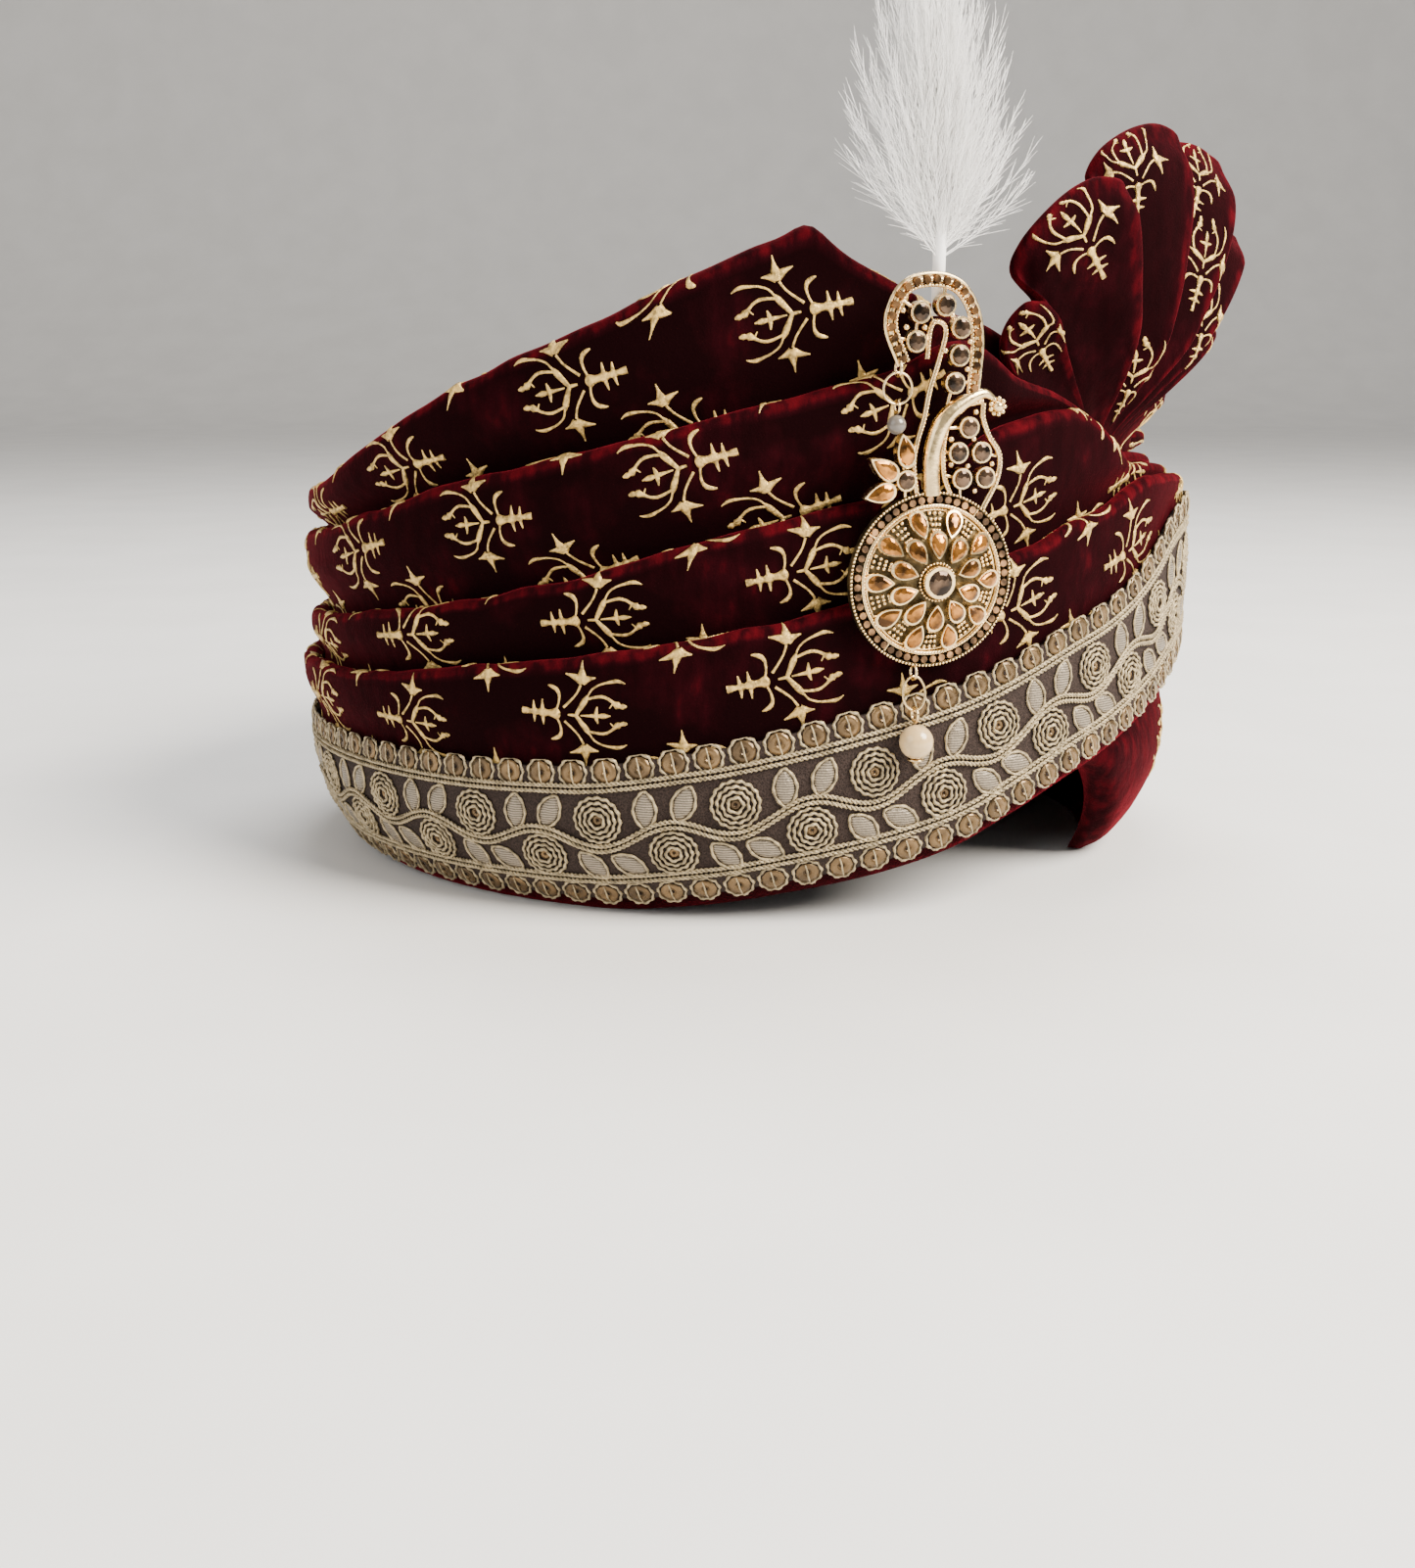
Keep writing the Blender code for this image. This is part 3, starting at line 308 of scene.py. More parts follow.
# Motif, as shares of its own height, its foot at 0 and its tip at 1: each stroke is a list of
# (across, up, width). Strokes marked as pairs are repeated on the other side.
MOTIF_MIDDLE = (
    ((0.0, 0.00, 0.075), (0.0, 0.05, 0.070), (0.0, 0.09, 0.055), (0.0, 0.12, 0.090),
     (0.0, 0.16, 0.060), (0.0, 0.20, 0.100), (0.0, 0.25, 0.070), (0.0, 0.30, 0.085),
     (0.0, 0.345, 0.125), (0.0, 0.375, 0.050)),
    ((-0.10, 0.112, 0.018), (-0.04, 0.118, 0.045), (0.04, 0.118, 0.045), (0.10, 0.112, 0.018)),
    ((-0.12, 0.200, 0.018), (-0.04, 0.203, 0.050), (0.04, 0.203, 0.050), (0.12, 0.200, 0.018)),
    ((0.0, 0.45, 0.030), (0.0, 0.49, 0.040), (0.0, 0.53, 0.045)),
    ((0.0, 0.57, 0.022), (0.0, 0.62, 0.032), (0.0, 0.67, 0.045), (0.0, 0.715, 0.060)),
    ((-0.085, 0.728, 0.018), (-0.03, 0.718, 0.050), (0.03, 0.718, 0.050), (0.075, 0.728, 0.018)),
    ((0.0, 0.735, 0.045), (0.0, 0.775, 0.062), (0.0, 0.805, 0.055), (0.0, 0.85, 0.018)),
)
MOTIF_PAIRS = (
    ((0.05, 0.345, 0.032), (0.10, 0.362, 0.030), (0.17, 0.368, 0.040), (0.22, 0.345, 0.055),
     (0.245, 0.30, 0.048), (0.255, 0.262, 0.022)),
    ((0.065, 0.410, 0.038), (0.13, 0.475, 0.034), (0.20, 0.535, 0.030), (0.28, 0.575, 0.036)),
    ((0.29, 0.585, 0.090), (0.345, 0.588, 0.105), (0.42, 0.588, 0.050), (0.50, 0.588, 0.014)),
    ((0.315, 0.590, 0.095), (0.335, 0.645, 0.065), (0.345, 0.715, 0.018)),
    ((0.315, 0.590, 0.095), (0.350, 0.525, 0.070), (0.375, 0.435, 0.020)),
    ((0.0, 0.525, 0.045), (0.07, 0.570, 0.060), (0.14, 0.615, 0.068), (0.185, 0.64, 0.030)),
    ((0.150, 0.625, 0.036), (0.168, 0.70, 0.038), (0.175, 0.77, 0.044), (0.155, 0.83, 0.038),
     (0.118, 0.88, 0.046), (0.095, 0.912, 0.080), (0.086, 0.940, 0.052), (0.082, 0.965, 0.064),
     (0.080, 1.0, 0.030)),
    ((0.118, 0.880, 0.032), (0.070, 0.842, 0.016)),
    ((0.180, 0.640, 0.028), (0.240, 0.678, 0.030), (0.282, 0.75, 0.030), (0.302, 0.83, 0.038),
     (0.312, 0.90, 0.050), (0.302, 0.95, 0.036), (0.285, 0.985, 0.014)),
)

# Whole motifs in the front of each fold: azimuth and share of the fold's visible face. The row
# goes on round the turban, with rows above and below it that are half hidden by the folds.
FRONT_MOTIFS = {
    1: ((-132, 0.40), (-109, 0.49), (-86, 0.52), (-59, 0.49), (-39, 0.37)),
    2: ((-132, 0.70), (-107, 0.49), (-84, 0.52), (-58, 0.37)),
    3: ((-143, 0.76), (-120, 0.70), (-97, 0.76), (-74, 0.84)),
    4: ((-133, 0.52), (-109, 0.64), (-85, 0.58)),
}
MOTIF_PITCH = 23.0
MOTIF_ROW_RISE = 0.0185
# Between these azimuths the fan stands in front of the two upper folds, which are plain there.
FAN_FOOT = (-64.0, -10.0)

# Motifs on the fan: angle at the fan's foot, distance from there, turn and size.
FAN_MOTIFS = (
    (-10.6, 0.0705, -12.0, 0.90), (-30.4, 0.0625, 4.0, 0.90), (14.1, 0.0725, -18.0, 0.88),
    (-50.6, 0.0500, -20.0, 0.86), (17.4, 0.0525, -4.0, 0.90), (-4.6, 0.0234, -10.0, 0.85),
    (33.0, 0.0440, 12.0, 0.88), (58.0, 0.0360, 50.0, 0.85),
)
# Motifs on the nape fold: azimuth, column and turn. On the crown: rings of count, shift and column.
NAPE_MOTIFS = (
    (-14.0, 15.0, 60.0), (8.0, 15.0, -90.0), (31.0, 13.0, -90.0), (54.0, 12.0, -90.0),
    (77.0, 12.0, -90.0),
)
CROWN_MOTIF_RINGS = ((11, 0.5, 6.0), (6, 0.0, 17.0))
CROWN_GATHERS = 26
# Painted sheen laid evenly over the nape fold, as a share of the full painted sheen colour
NAPE_PAINTED_SHEEN = 0.55

# Lines of the band, as shares of its width. Those of the roses have a shift along the band too.
LACE_COLUMNS = 45
LACE_EDGE_COLUMNS = 2
CORD_LINES = (0.184, 0.222, 0.800, 0.838)
SEQUIN_LINES = (0.082, 0.917)
ROSE_LINES = ((0.612, 0.0), (0.357, 0.5))
ROSE_RINGS = (0.93, 0.72, 0.51, 0.30)
VINE_MIDDLE = 0.485
VINE_SWING = 0.062
VINE_PAIR = (-0.00064, 0.00064)
CORD_TURNS = 330
CORD_PLY = 0.00030
LEAF_STITCHES = 10.0
LEAF_PADDING = 0.00070
SEQUIN_STITCH = (
    ((0.0002, -0.0024, 0.0004), (0.0, -0.0008, 0.0007), (0.0, 0.0008, 0.0007),
     (-0.0002, 0.0024, 0.0004)),
    (0.00016, 0.00022, 0.00022, 0.00016),
)
# Leaf pairs of the band: share of its width, shift along it in roses, and lean in degrees.
LEAF_PAIRS = (
    (0.650, 0.355, -8.0), (0.660, 0.635, -30.0), (0.300, 0.865, 36.0), (0.300, 0.145, 56.0),
)

# Seeds of the random draws that turn the motifs a little and spread the feather's barbs
EMBROIDERY_SEED = 7
FEATHER_SEED = 11

# Floor and camera, in metres, picture points and degrees
FLOOR_HALF_WIDTH = 4.0
FLOOR_FRONT = -1.6
FLOOR_BACK = 3.0
SWEEP_RADIUS = 0.9
WALL_SLOPE = 9.0
CAMERA_FOCUS = 1900.0
PHOTO_WIDTH = 1445.0
SENSOR_WIDTH = 36.0
CAMERA_PITCH = 12.75
CAMERA_PLACE = (-0.00828, -0.5001, 0.1217)


def clamp(value, low=0.0, high=1.0):
    return max(low, min(high, value))


def smooth(value):
    value = clamp(value)
    return value * value * (3.0 - 2.0 * value)


def row_value(rows, column, where):
    """Reads a table column at any azimuth, on a smooth curve that never overshoots."""
    last = len(rows) - 1
    index = 0
    while index < last - 1 and where > rows[index + 1][0]:
        index += 1

    def slope(i):
        return (rows[i + 1][column] - rows[i][column]) / (rows[i + 1][0] - rows[i][0])

    def tangent(i):
        if i == 0 or i == last:
            return 0.0
        before, after = slope(i - 1), slope(i)
        if before * after <= 0.0:
            return 0.0
        return 2.0 * before * after / (before + after)

    span = rows[index + 1][0] - rows[index][0]
    t = clamp((where - rows[index][0]) / span)
    low, high = rows[index][column], rows[index + 1][column]
    return (
        low * (1 + 2 * t) * (1 - t) ** 2
        + high * t * t * (3 - 2 * t)
        + span * tangent(index) * t * (1 - t) ** 2
        - span * tangent(index + 1) * t * t * (1 - t)
    )


def folded_turn(azimuth):
    """The same azimuth between -180 and 180 degrees."""
    return (azimuth + 180.0) % 360.0 - 180.0


def fold_share(name, azimuth):
    return row_value(FOLD_ROWS, FOLD_COLUMNS.index(name), abs(folded_turn(azimuth)))


def fold_height(name, azimuth):
    """Height of the hem or of a fold's upper edge."""
    share = fold_share(name, azimuth)
    if name == "hem":
        return max(0.0, share * PEAK_HEIGHT)
    back = smooth(math.sin(math.radians(azimuth)))
    return share * PEAK_HEIGHT * (1.0 - BACK_DROP * back)


def lace_low(azimuth):
    return fold_height("hem", azimuth) + HEM_REVEAL


def lace_high(azimuth):
    return lace_low(azimuth) + fold_share("lace", azimuth) * LACE_WIDTH


# How far the part was moved so that the middle of its underside is at the origin
WRAP_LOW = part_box("wrap_1")[0]
SHIFT = Vector((
    WRAP_LOW[0] + HALF_WIDTH + FOLD_SWELL, WRAP_LOW[1] + HALF_DEPTH + FOLD_SWELL, WRAP_LOW[2],
))


def place(azimuth, out, height):
    """A point at a distance out from the body's own oval, which draws in at rim and top."""
    rim = max(0.0, 1.0 - height / RIM_PULL_HEIGHT)
    over = max(0.0, height - LEAN_START) / (PEAK_HEIGHT - LEAN_START)
    angle = math.radians(azimuth)
    shrink = 1.0 - RIM_PULL * rim * rim
    lean = TOP_LEAN * over * over
    x = (HALF_WIDTH * shrink - lean + out) * math.cos(angle)
    y = (HALF_DEPTH * shrink - lean + out) * math.sin(angle)
    return Vector((x, y, height)) + SHIFT


class Layer:
    """One wound fold at one azimuth: where its cloth starts, shows and ends."""

    def __init__(self, bottom, low, top, out_low, rise):
        self.bottom = bottom
        self.low = low
        self.top = top
        self.out_low = out_low
        self.rise = rise
        self.shoulder = top - WRAP_THICKNESS * 0.45

    def outer(self, height):
        full = 0.6 * max(self.top - self.low, 0.0005)
        return self.out_low + self.rise * smooth((height - self.low) / full)

    def inner(self, height):
        share = clamp((height - self.bottom) / (self.shoulder - self.bottom))
        foot = self.outer(self.bottom) - WRAP_THICKNESS
        head = self.outer(self.shoulder) - WRAP_THICKNESS
        return foot + (head - foot) * share


def pocket_share(azimuth):
    """1 where the fan's foot lies between the third and the fourth fold."""
    start = smooth((azimuth - FAN_POCKET_START) / POCKET_BLEND)
    end = smooth((FAN_POCKET_END - azimuth) / POCKET_BLEND)
    return start * end


def layers_at(azimuth):
    """The four folds at one azimuth, from the lowest up, each behind the one before."""
    azimuth = folded_turn(azimuth)
    set_in = LACE_SET_IN * 0.5 * (1.0 - math.cos(math.radians(azimuth)))
    first = Layer(
        fold_height("hem", azimuth), lace_high(azimuth), fold_height("edge_1", azimuth),
        -set_in, set_in,
    )
    found = [first]
    for number in (2, 3, 4):
        before = found[-1]
        bottom = before.top - TUCK
        out_low = before.inner(bottom) - LAYER_GAP
        top = fold_height("edge_%d" % number, azimuth)
        reach = smooth((top - before.top) / FULL_FACE)
        if number == 4:
            share = pocket_share(azimuth)
            out_low -= share * (FAN_THICKNESS + POCKET_GAP)
            reach *= 1.0 - share
        rise = max(0.0, -FACE_SET_IN - out_low) * reach
        found.append(Layer(bottom, before.top, top, out_low, rise))
    return found


class ClothNet:
    """A cloth face as a net of points: rows run along the cloth, columns up it."""

    def __init__(self, points, closed):
        self.points = np.array(points)
        self.closed = closed
        if closed:
            ahead = np.roll(self.points, -1, axis=0) - np.roll(self.points, 1, axis=0)
        else:
            ahead = np.gradient(self.points, axis=0)
        up = np.gradient(self.points, axis=1)
        normals = np.cross(ahead, up)
        lengths = np.linalg.norm(normals, axis=2, keepdims=True)
        self.normals = normals / np.maximum(lengths, 1e-12)
        steps = np.linalg.norm(np.diff(self.points, axis=1), axis=2)
        self.filled = (steps > 0.00005).sum(axis=1)

    def read(self, values, row, column):
        """Values between the net's points, by position on the net."""
        rows, columns = self.points.shape[:2]
        if self.closed:
            row = np.mod(row, rows)
        else:
            row = np.clip(row, 0.0, rows - 1.001)
        column = np.clip(column, 0.0, columns - 1.001)
        i = np.floor(row).astype(int) % rows
        j = np.floor(column).astype(int)
        after = (i + 1) % rows
        a = (row - np.floor(row))[..., None]
        b = (column - j)[..., None]
        near = values[i, j] * (1 - a) + values[after, j] * a
        far = values[i, j + 1] * (1 - a) + values[after, j + 1] * a
        return near * (1 - b) + far * b

    def lay(self, row, column, turn, corners):
        """Lays flat corners (along, up, lift) on the cloth round one place, turned in degrees."""
        seat = np.array([clamp(column, 0.5, self.filled[round(row) % len(self.filled)] - 1.5)])
        spot = np.array([row])
        ahead = self.read(self.points, spot + 0.5, seat) - self.read(self.points, spot - 0.5, seat)
        up = self.read(self.points, spot, seat + 0.5) - self.read(self.points, spot, seat - 0.5)
        ahead, up = ahead[0], up[0]
        along = ahead / np.linalg.norm(ahead)
        normal = np.cross(ahead, up)
        normal /= np.linalg.norm(normal)
        across = np.cross(normal, along)
        angle = math.radians(turn)
        x = corners[:, 0] * math.cos(angle) - corners[:, 1] * math.sin(angle)
        y = corners[:, 0] * math.sin(angle) + corners[:, 1] * math.cos(angle)
        across_step = np.dot(up, across)
        columns = y / across_step
        rows = (x - columns * np.dot(up, along)) / np.linalg.norm(ahead)
        base = self.read(self.points, row + rows, column + columns)
        lean = self.read(self.normals, row + rows, column + columns)
        return base + lean * corners[:, 2:3]


def link(name, mesh):
    piece = bpy.data.objects.new(name, mesh)
    bpy.context.collection.objects.link(piece)
    return piece


def add_piece(mesh, material, replaced=(), shade_smooth=True):
    """Links a finished mesh, with its material, its body and the solids that it stands for."""
    piece = link(mesh.name, mesh)
    mesh.materials.clear()
    mesh.materials.append(material)
    mesh.polygons.foreach_set("use_smooth", [shade_smooth] * len(mesh.polygons))
    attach(piece, "root")
    if replaced:
        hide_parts(*replaced)
    return piece


def mesh_from(builder, name):
    mesh = bpy.data.meshes.new(name)
    builder.to_mesh(mesh)
    builder.free()
    return mesh


def cloth_mesh(name, points, closed_rows, nap=None):
    """A closed skin from sections of points. Each section runs once round the cloth's edge.

    The last argument gives, for each row and column, how much painted sheen the velvet takes, as a
    painted highlight along a fold."""
    rows, columns = len(points), len(points[0])
    row_faces = rows if closed_rows else rows - 1
    builder = bmesh.new()
    builder.loops.layers.uv.new("cloth")
    painted_sheen = builder.verts.layers.float.new("nap")
    bmesh.ops.create_grid(
        builder, x_segments=row_faces, y_segments=columns, size=1.0, calc_uvs=True,
    )
    lengths = [0.0]
    for column in range(columns):
        step = Vector(points[0][(column + 1) % columns]) - Vector(points[0][column])
        lengths.append(lengths[-1] + step.length)
    spots = {}
    for vertex in builder.verts:
        i = round((vertex.co.x + 1.0) * 0.5 * row_faces)
        j = round((vertex.co.y + 1.0) * 0.5 * columns)
        spots[vertex] = (i, j)
    layer = builder.loops.layers.uv.active
    turn_length = 2.0 * math.pi * HALF_WIDTH
    for face in builder.faces:
        for loop in face.loops:
            i, j = spots[loop.vert]
            loop[layer].uv = (turn_length * i / row_faces, lengths[j])
    for vertex, (i, j) in spots.items():
        vertex.co = points[i % rows][j % columns]
        vertex[painted_sheen] = 0.0 if nap is None else float(nap[i % rows][j % columns])
    bmesh.ops.remove_doubles(builder, verts=builder.verts, dist=0.000002)
    if not closed_rows:
        bmesh.ops.holes_fill(builder, edges=[e for e in builder.edges if e.is_boundary], sides=0)
    loose = [edge for edge in builder.edges if edge.is_wire]
    bmesh.ops.delete(builder, geom=loose, context="EDGES")
    bmesh.ops.recalc_face_normals(builder, faces=builder.faces)
    return mesh_from(builder, name)


def spin_profile(builder, section, steps):
    """Turns a section of (radius, height) about the Z axis into a closed body."""
    verts = [builder.verts.new((radius, 0.0, lift)) for radius, lift in section]
    edges = [builder.edges.new((verts[k], verts[k + 1])) for k in range(len(verts) - 1)]
    if section[0][0] > 0.0:
        edges.append(builder.edges.new((verts[-1], verts[0])))
    bmesh.ops.spin(
        builder, geom=verts + edges, cent=(0, 0, 0), axis=(0, 0, 1), dvec=(0, 0, 0),
        angle=2.0 * math.pi, steps=steps, use_merge=True,
    )
    bmesh.ops.remove_doubles(builder, verts=builder.verts, dist=0.000002)


def strand_mesh(name, strands, cyclic=False, resolution=0):
    """Round strands as one mesh. Each strand is a pair: points, and the radius at each point."""
    curve = bpy.data.curves.new(name, "CURVE")
    curve.dimensions = "3D"
    curve.bevel_depth = 1.0
    curve.bevel_resolution = resolution
    curve.use_fill_caps = not cyclic
    for points, radii in strands:
        spline = curve.splines.new("POLY")
        spline.points.add(len(points) - 1)
        flat = np.ones((len(points), 4))
        flat[:, :3] = np.array(points)
        spline.points.foreach_set("co", flat.ravel())
        spline.points.foreach_set("radius", np.array(radii, dtype=float))
        spline.use_cyclic_u = cyclic
    holder = link(name, curve)
    graph = bpy.context.evaluated_depsgraph_get()
    mesh = bpy.data.meshes.new_from_object(holder.evaluated_get(graph))
    bpy.data.objects.remove(holder, do_unlink=True)
    bpy.data.curves.remove(curve)
    mesh.name = name
    return mesh


def curve_through(points, steps):
    """A smooth path through rows of numbers, with a number of steps for each stretch."""
    rows = np.array(points, dtype=float)
    padded = np.vstack([2 * rows[0] - rows[1], rows, 2 * rows[-1] - rows[-2]])
    found = []
    for k in range(len(rows) - 1):
        a, b, c, d = padded[k:k + 4]
        for step in range(steps):
            t = step / steps
            found.append(0.5 * (
                2 * b + (c - a) * t + (2 * a - 5 * b + 4 * c - d) * t * t
                + (3 * b - a - 3 * c + d) * t * t * t
            ))
    found.append(rows[-1])
    return np.array(found)


def add_laid(name, pattern, net, spots, material):
    """Adds a flat pattern, laid on a cloth net at many spots: (row, column, turn, size)."""
    corners = np.empty(len(pattern.vertices) * 3)
    pattern.vertices.foreach_get("co", corners)
    corners = corners.reshape(-1, 3)
    builder = bmesh.new()
    laid = []
    for row, column, turn, size in spots:
        builder.from_mesh(pattern)
        laid.append(net.lay(row, column, turn, corners * (size, size, 1.0)))
    for vertex, point in zip(builder.verts, np.concatenate(laid)):
        vertex.co = point
    return add_piece(mesh_from(builder, name), material)


def along_body(azimuth):
    """A place on a circle as wide as the body, to read soft noise at."""
    turn = math.radians(azimuth)
    return Vector((math.cos(turn), math.sin(turn), 0.0)) * HALF_WIDTH


def ripple(azimuth, up, seed, depth):
    """Soft unevenness of wound velvet: long swells along it, with finer drag lines in them."""
    along = along_body(azimuth)
    swell = noise.noise(along / 0.040 + Vector((0.0, 0.0, up / 0.020 + seed)))
    drag = noise.noise(along / 0.022 + Vector((seed, 0.0, up / 0.0045)))
    return depth * (0.55 + 0.45 * swell + 0.28 * drag)


def edge_lift(number, azimuth):
    """Unevenness of a fold's rolled edge, with the small gather on top of the highest fold."""
    spot = along_body(azimuth) / 0.011 + Vector((0.0, 0.0, 9.1 * number))
    lift = EDGE_WAVER * noise.noise(spot)
    if number == 4:
        lift += NUB_HEIGHT * math.exp(-((azimuth - NUB_AZIMUTH) / NUB_REACH) ** 2)
    return lift


@functools.cache
def fold_layers():
    return [layers_at(azimuth) for azimuth in range(ROWS_ROUND)]


@functools.cache
def fold_sections(number, depth):
    """Sections of one wound fold at each degree: up its face, over the roll and down inside."""
    sections = []
    half = 0.5 * WRAP_THICKNESS
    for azimuth in range(ROWS_ROUND):
        layer = fold_layers()[azimuth][number - 1]
        levels = list(np.linspace(layer.bottom, layer.low, FOOT_SAMPLES + 1)[:-1])
        levels += list(np.linspace(layer.low, layer.shoulder, FACE_SAMPLES))
        face = layer.shoulder - layer.low
        section = []
        for level in levels:
            share = clamp((level - layer.low) / max(face, 0.0005))
            near_roll = smooth((level - layer.shoulder + ROLL_REACH) / ROLL_REACH)
            shown = math.sin(math.pi * share) ** 0.7 * smooth(face / 0.020)
            out = layer.outer(level) + FOLD_SWELL * near_roll * smooth(face / 0.006)
            section.append((out + shown * ripple(azimuth, level, 3.7 * number, depth), level))
        centre = section[-1][0] - half
        for step in range(1, ROLL_SAMPLES + 1):
            turn = math.pi * step / (ROLL_SAMPLES + 1)
            level = layer.shoulder + 0.9 * half * math.sin(turn)
            section.append((centre + half * math.cos(turn), level))
        for level in np.linspace(layer.shoulder, layer.bottom, INNER_SAMPLES):
            section.append((min(layer.inner(level), centre - 0.6 * half), level))
        lift = edge_lift(number, azimuth) * smooth(face / 0.010)
        sections.append([
            place(azimuth, out, level + lift * smooth((level - layer.shoulder) / ROLL_REACH + 1.0))
            for out, level in section
        ])
    return sections


def fold_painted_sheen():
    """Painted highlight along the roll of a fold, and painted sheen over the sides towards the knot
    and the far side.
    """
    shape = [0.0] * FOOT_SAMPLES
    shape += [smooth((k / (FACE_SAMPLES - 1) - 0.92) / 0.08) for k in range(FACE_SAMPLES)]
    shape += [1.0] * ROLL_SAMPLES + [0.4] * INNER_SAMPLES
    rows = []
    for azimuth in range(ROWS_ROUND):
        right = math.cos(math.radians(azimuth))
        least = 0.32 * smooth((-right - 0.45) / 0.5) + 0.30 * smooth((right - 0.35) / 0.6)
        rows.append([max(value * 0.80, least) for value in shape])
    return rows


def fan_painted_sheen():
    """Painted highlight along the ridges of the pleats and over the top edge."""
    rows = []
    shown = FAN_FACE_SAMPLES + FAN_ROLL_SAMPLES
    for _, _, swing, _ in fan_lines():
        ridge = 0.65 * smooth((swing - 0.86) / 0.14)
        row = [max(ridge, smooth((j - 40) / 8.0)) * 0.9 + 0.10 for j in range(shown)]
        rows.append(row + [0.4] * FAN_BACK_SAMPLES)
    return rows


def net_along(sections, start):
    """A net with even steps up the cloth, from just below its visible foot."""
    rows = []
    wanted = FACE_STEP * np.arange(FACE_COLUMNS) - FACE_HIDDEN
    for section in sections:
        points = np.array(section)
        steps = np.linalg.norm(np.diff(points, axis=0), axis=1)
        lengths = np.concatenate([[0.0], np.cumsum(steps)])
        lengths -= lengths[start]
        rows.append(np.stack([np.interp(wanted, lengths, values) for values in points.T], axis=1))
    return ClothNet(rows, True)


@functools.cache
def fold_net(number, depth):
    return net_along(fold_sections(number, depth), FOOT_SAMPLES)


def fold_spot(number, azimuth, share, rise):
    """Row and column of a fold's net, from a share of its visible face and a rise over that."""
    layer = fold_layers()[round(azimuth) % ROWS_ROUND][number - 1]
    up = share * (layer.shoulder - layer.low) + rise
    return azimuth % ROWS_ROUND, (FACE_HIDDEN + up) / FACE_STEP


@functools.cache
def crown_sections():
    """Sections of the cap at each degree: outside up to the rim, over the dome, back inside."""
    sections = []
    for azimuth in range(ROWS_ROUND):
        layer = fold_layers()[azimuth][3]
        start = fold_height("hem", azimuth) + CROWN_SKIRT_RISE
        middle = 0.5 * (layer.bottom + layer.shoulder)
        rim = layer.shoulder - CROWN_RIM_DROP
        rim_share = clamp((rim - middle) / (layer.shoulder - middle))
        foot_out = layer.inner(layer.bottom) - CROWN_GAP
        middle_out = layer.inner(middle) - CROWN_GAP
        rim_out = middle_out + (layer.inner(layer.shoulder) - CROWN_GAP - middle_out) * rim_share
        section = [
            place(azimuth, foot_out, start), place(azimuth, foot_out, layer.bottom),
            place(azimuth, middle_out, middle), place(azimuth, rim_out, rim),
        ]
        edge = section[-1] - SHIFT

        def domed(share, inset, lift):
            height = CROWN_HEIGHT + (rim - CROWN_HEIGHT) * share ** 2.4 + lift
            return Vector((edge.x * share * inset, edge.y * share * inset, height)) + SHIFT

        for share in np.linspace(0.97, 0.0, 30):
            turn = math.radians(azimuth) * CROWN_GATHERS + 2.0 * math.sin(3.0 * share)
            spot = Vector((edge.x * share, edge.y * share, 0.0)) / 0.025
            gather = 0.0011 * math.sin(turn) + 0.0012 * noise.noise(spot)
            gather *= smooth(share / 0.25) * smooth((1.0 - share) / 0.15)
            section.append(domed(share, 1.0, gather))
        inset = 1.0 - CROWN_THICKNESS / HALF_WIDTH
        section += [domed(share, inset, -CROWN_THICKNESS) for share in np.linspace(0.0, 0.95, 10)]
        section += [
            place(azimuth, rim_out - CROWN_THICKNESS, rim - CROWN_THICKNESS),
            place(azimuth, foot_out - CROWN_THICKNESS, layer.bottom),
            place(azimuth, foot_out - CROWN_THICKNESS, start),
        ]
        sections.append(section)
    return sections


@functools.cache
def nape_sections():
    """Sections of the velvet below the raised rim, one at each degree."""
    sections = []
    for azimuth in np.arange(NAPE_START, NAPE_END + 0.5, 1.0):
        layer = layers_at(azimuth)[0]
        hem = layer.bottom
        lift = 1.0 - smooth((azimuth - NAPE_START) / (NAPE_LIFT_END - NAPE_START))
        foot = lift * (hem - HEM_REVEAL)
        tucked = layer.inner(hem) - NAPE_GAP
        face = tucked + 0.8 * WRAP_THICKNESS * smooth((hem - foot) / FULL_FACE)
        drop = hem - LAYER_GAP - foot
        outer = curve_through((
            (tucked - NAPE_THICKNESS * 0.5, foot), (0.6 * face + 0.4 * tucked, foot + drop * 0.10),
            (face, foot + drop * 0.38), (face, foot + drop * 0.72), (tucked, foot + drop),
            (tucked, hem + TUCK),
        ), 6)
        back = tucked - NAPE_THICKNESS
        inner = curve_through((
            (back, hem + TUCK), (back, foot + drop * 0.72), (back, foot + drop * 0.38),
            (tucked - NAPE_THICKNESS * 1.6, foot),
        ), 4)
        section = []
        for out, height in outer:
            shown = 0.8 * math.sin(math.pi * clamp((height - foot) / max(drop, 0.0005)))
            swell = shown * ripple(azimuth, height, 31.0, 0.0009)
            section.append(place(azimuth, out + swell, height))
        section += [place(azimuth, out, height) for out, height in inner]
        sections.append(section)
    return sections


@functools.cache
def fan_lines():
    """Angle, reach, swing and lean of close lines of cloth across the fan."""
    columns = []
    left, left_lean = FAN_FIRST_ANGLE, PLEAT_ROWS[0][2]
    for angle, reach, lean in PLEAT_ROWS:
        for share, drop, swing in PLEAT_PROFILE:
            between = left + (angle - left) * share
            columns.append((between, reach - drop, swing, left_lean + (lean - left_lean) * share))
        left, left_lean = angle, lean
    columns.append((left, reach - PLEAT_PROFILE[0][1], 0.0, left_lean))
    return curve_through(columns, 7)


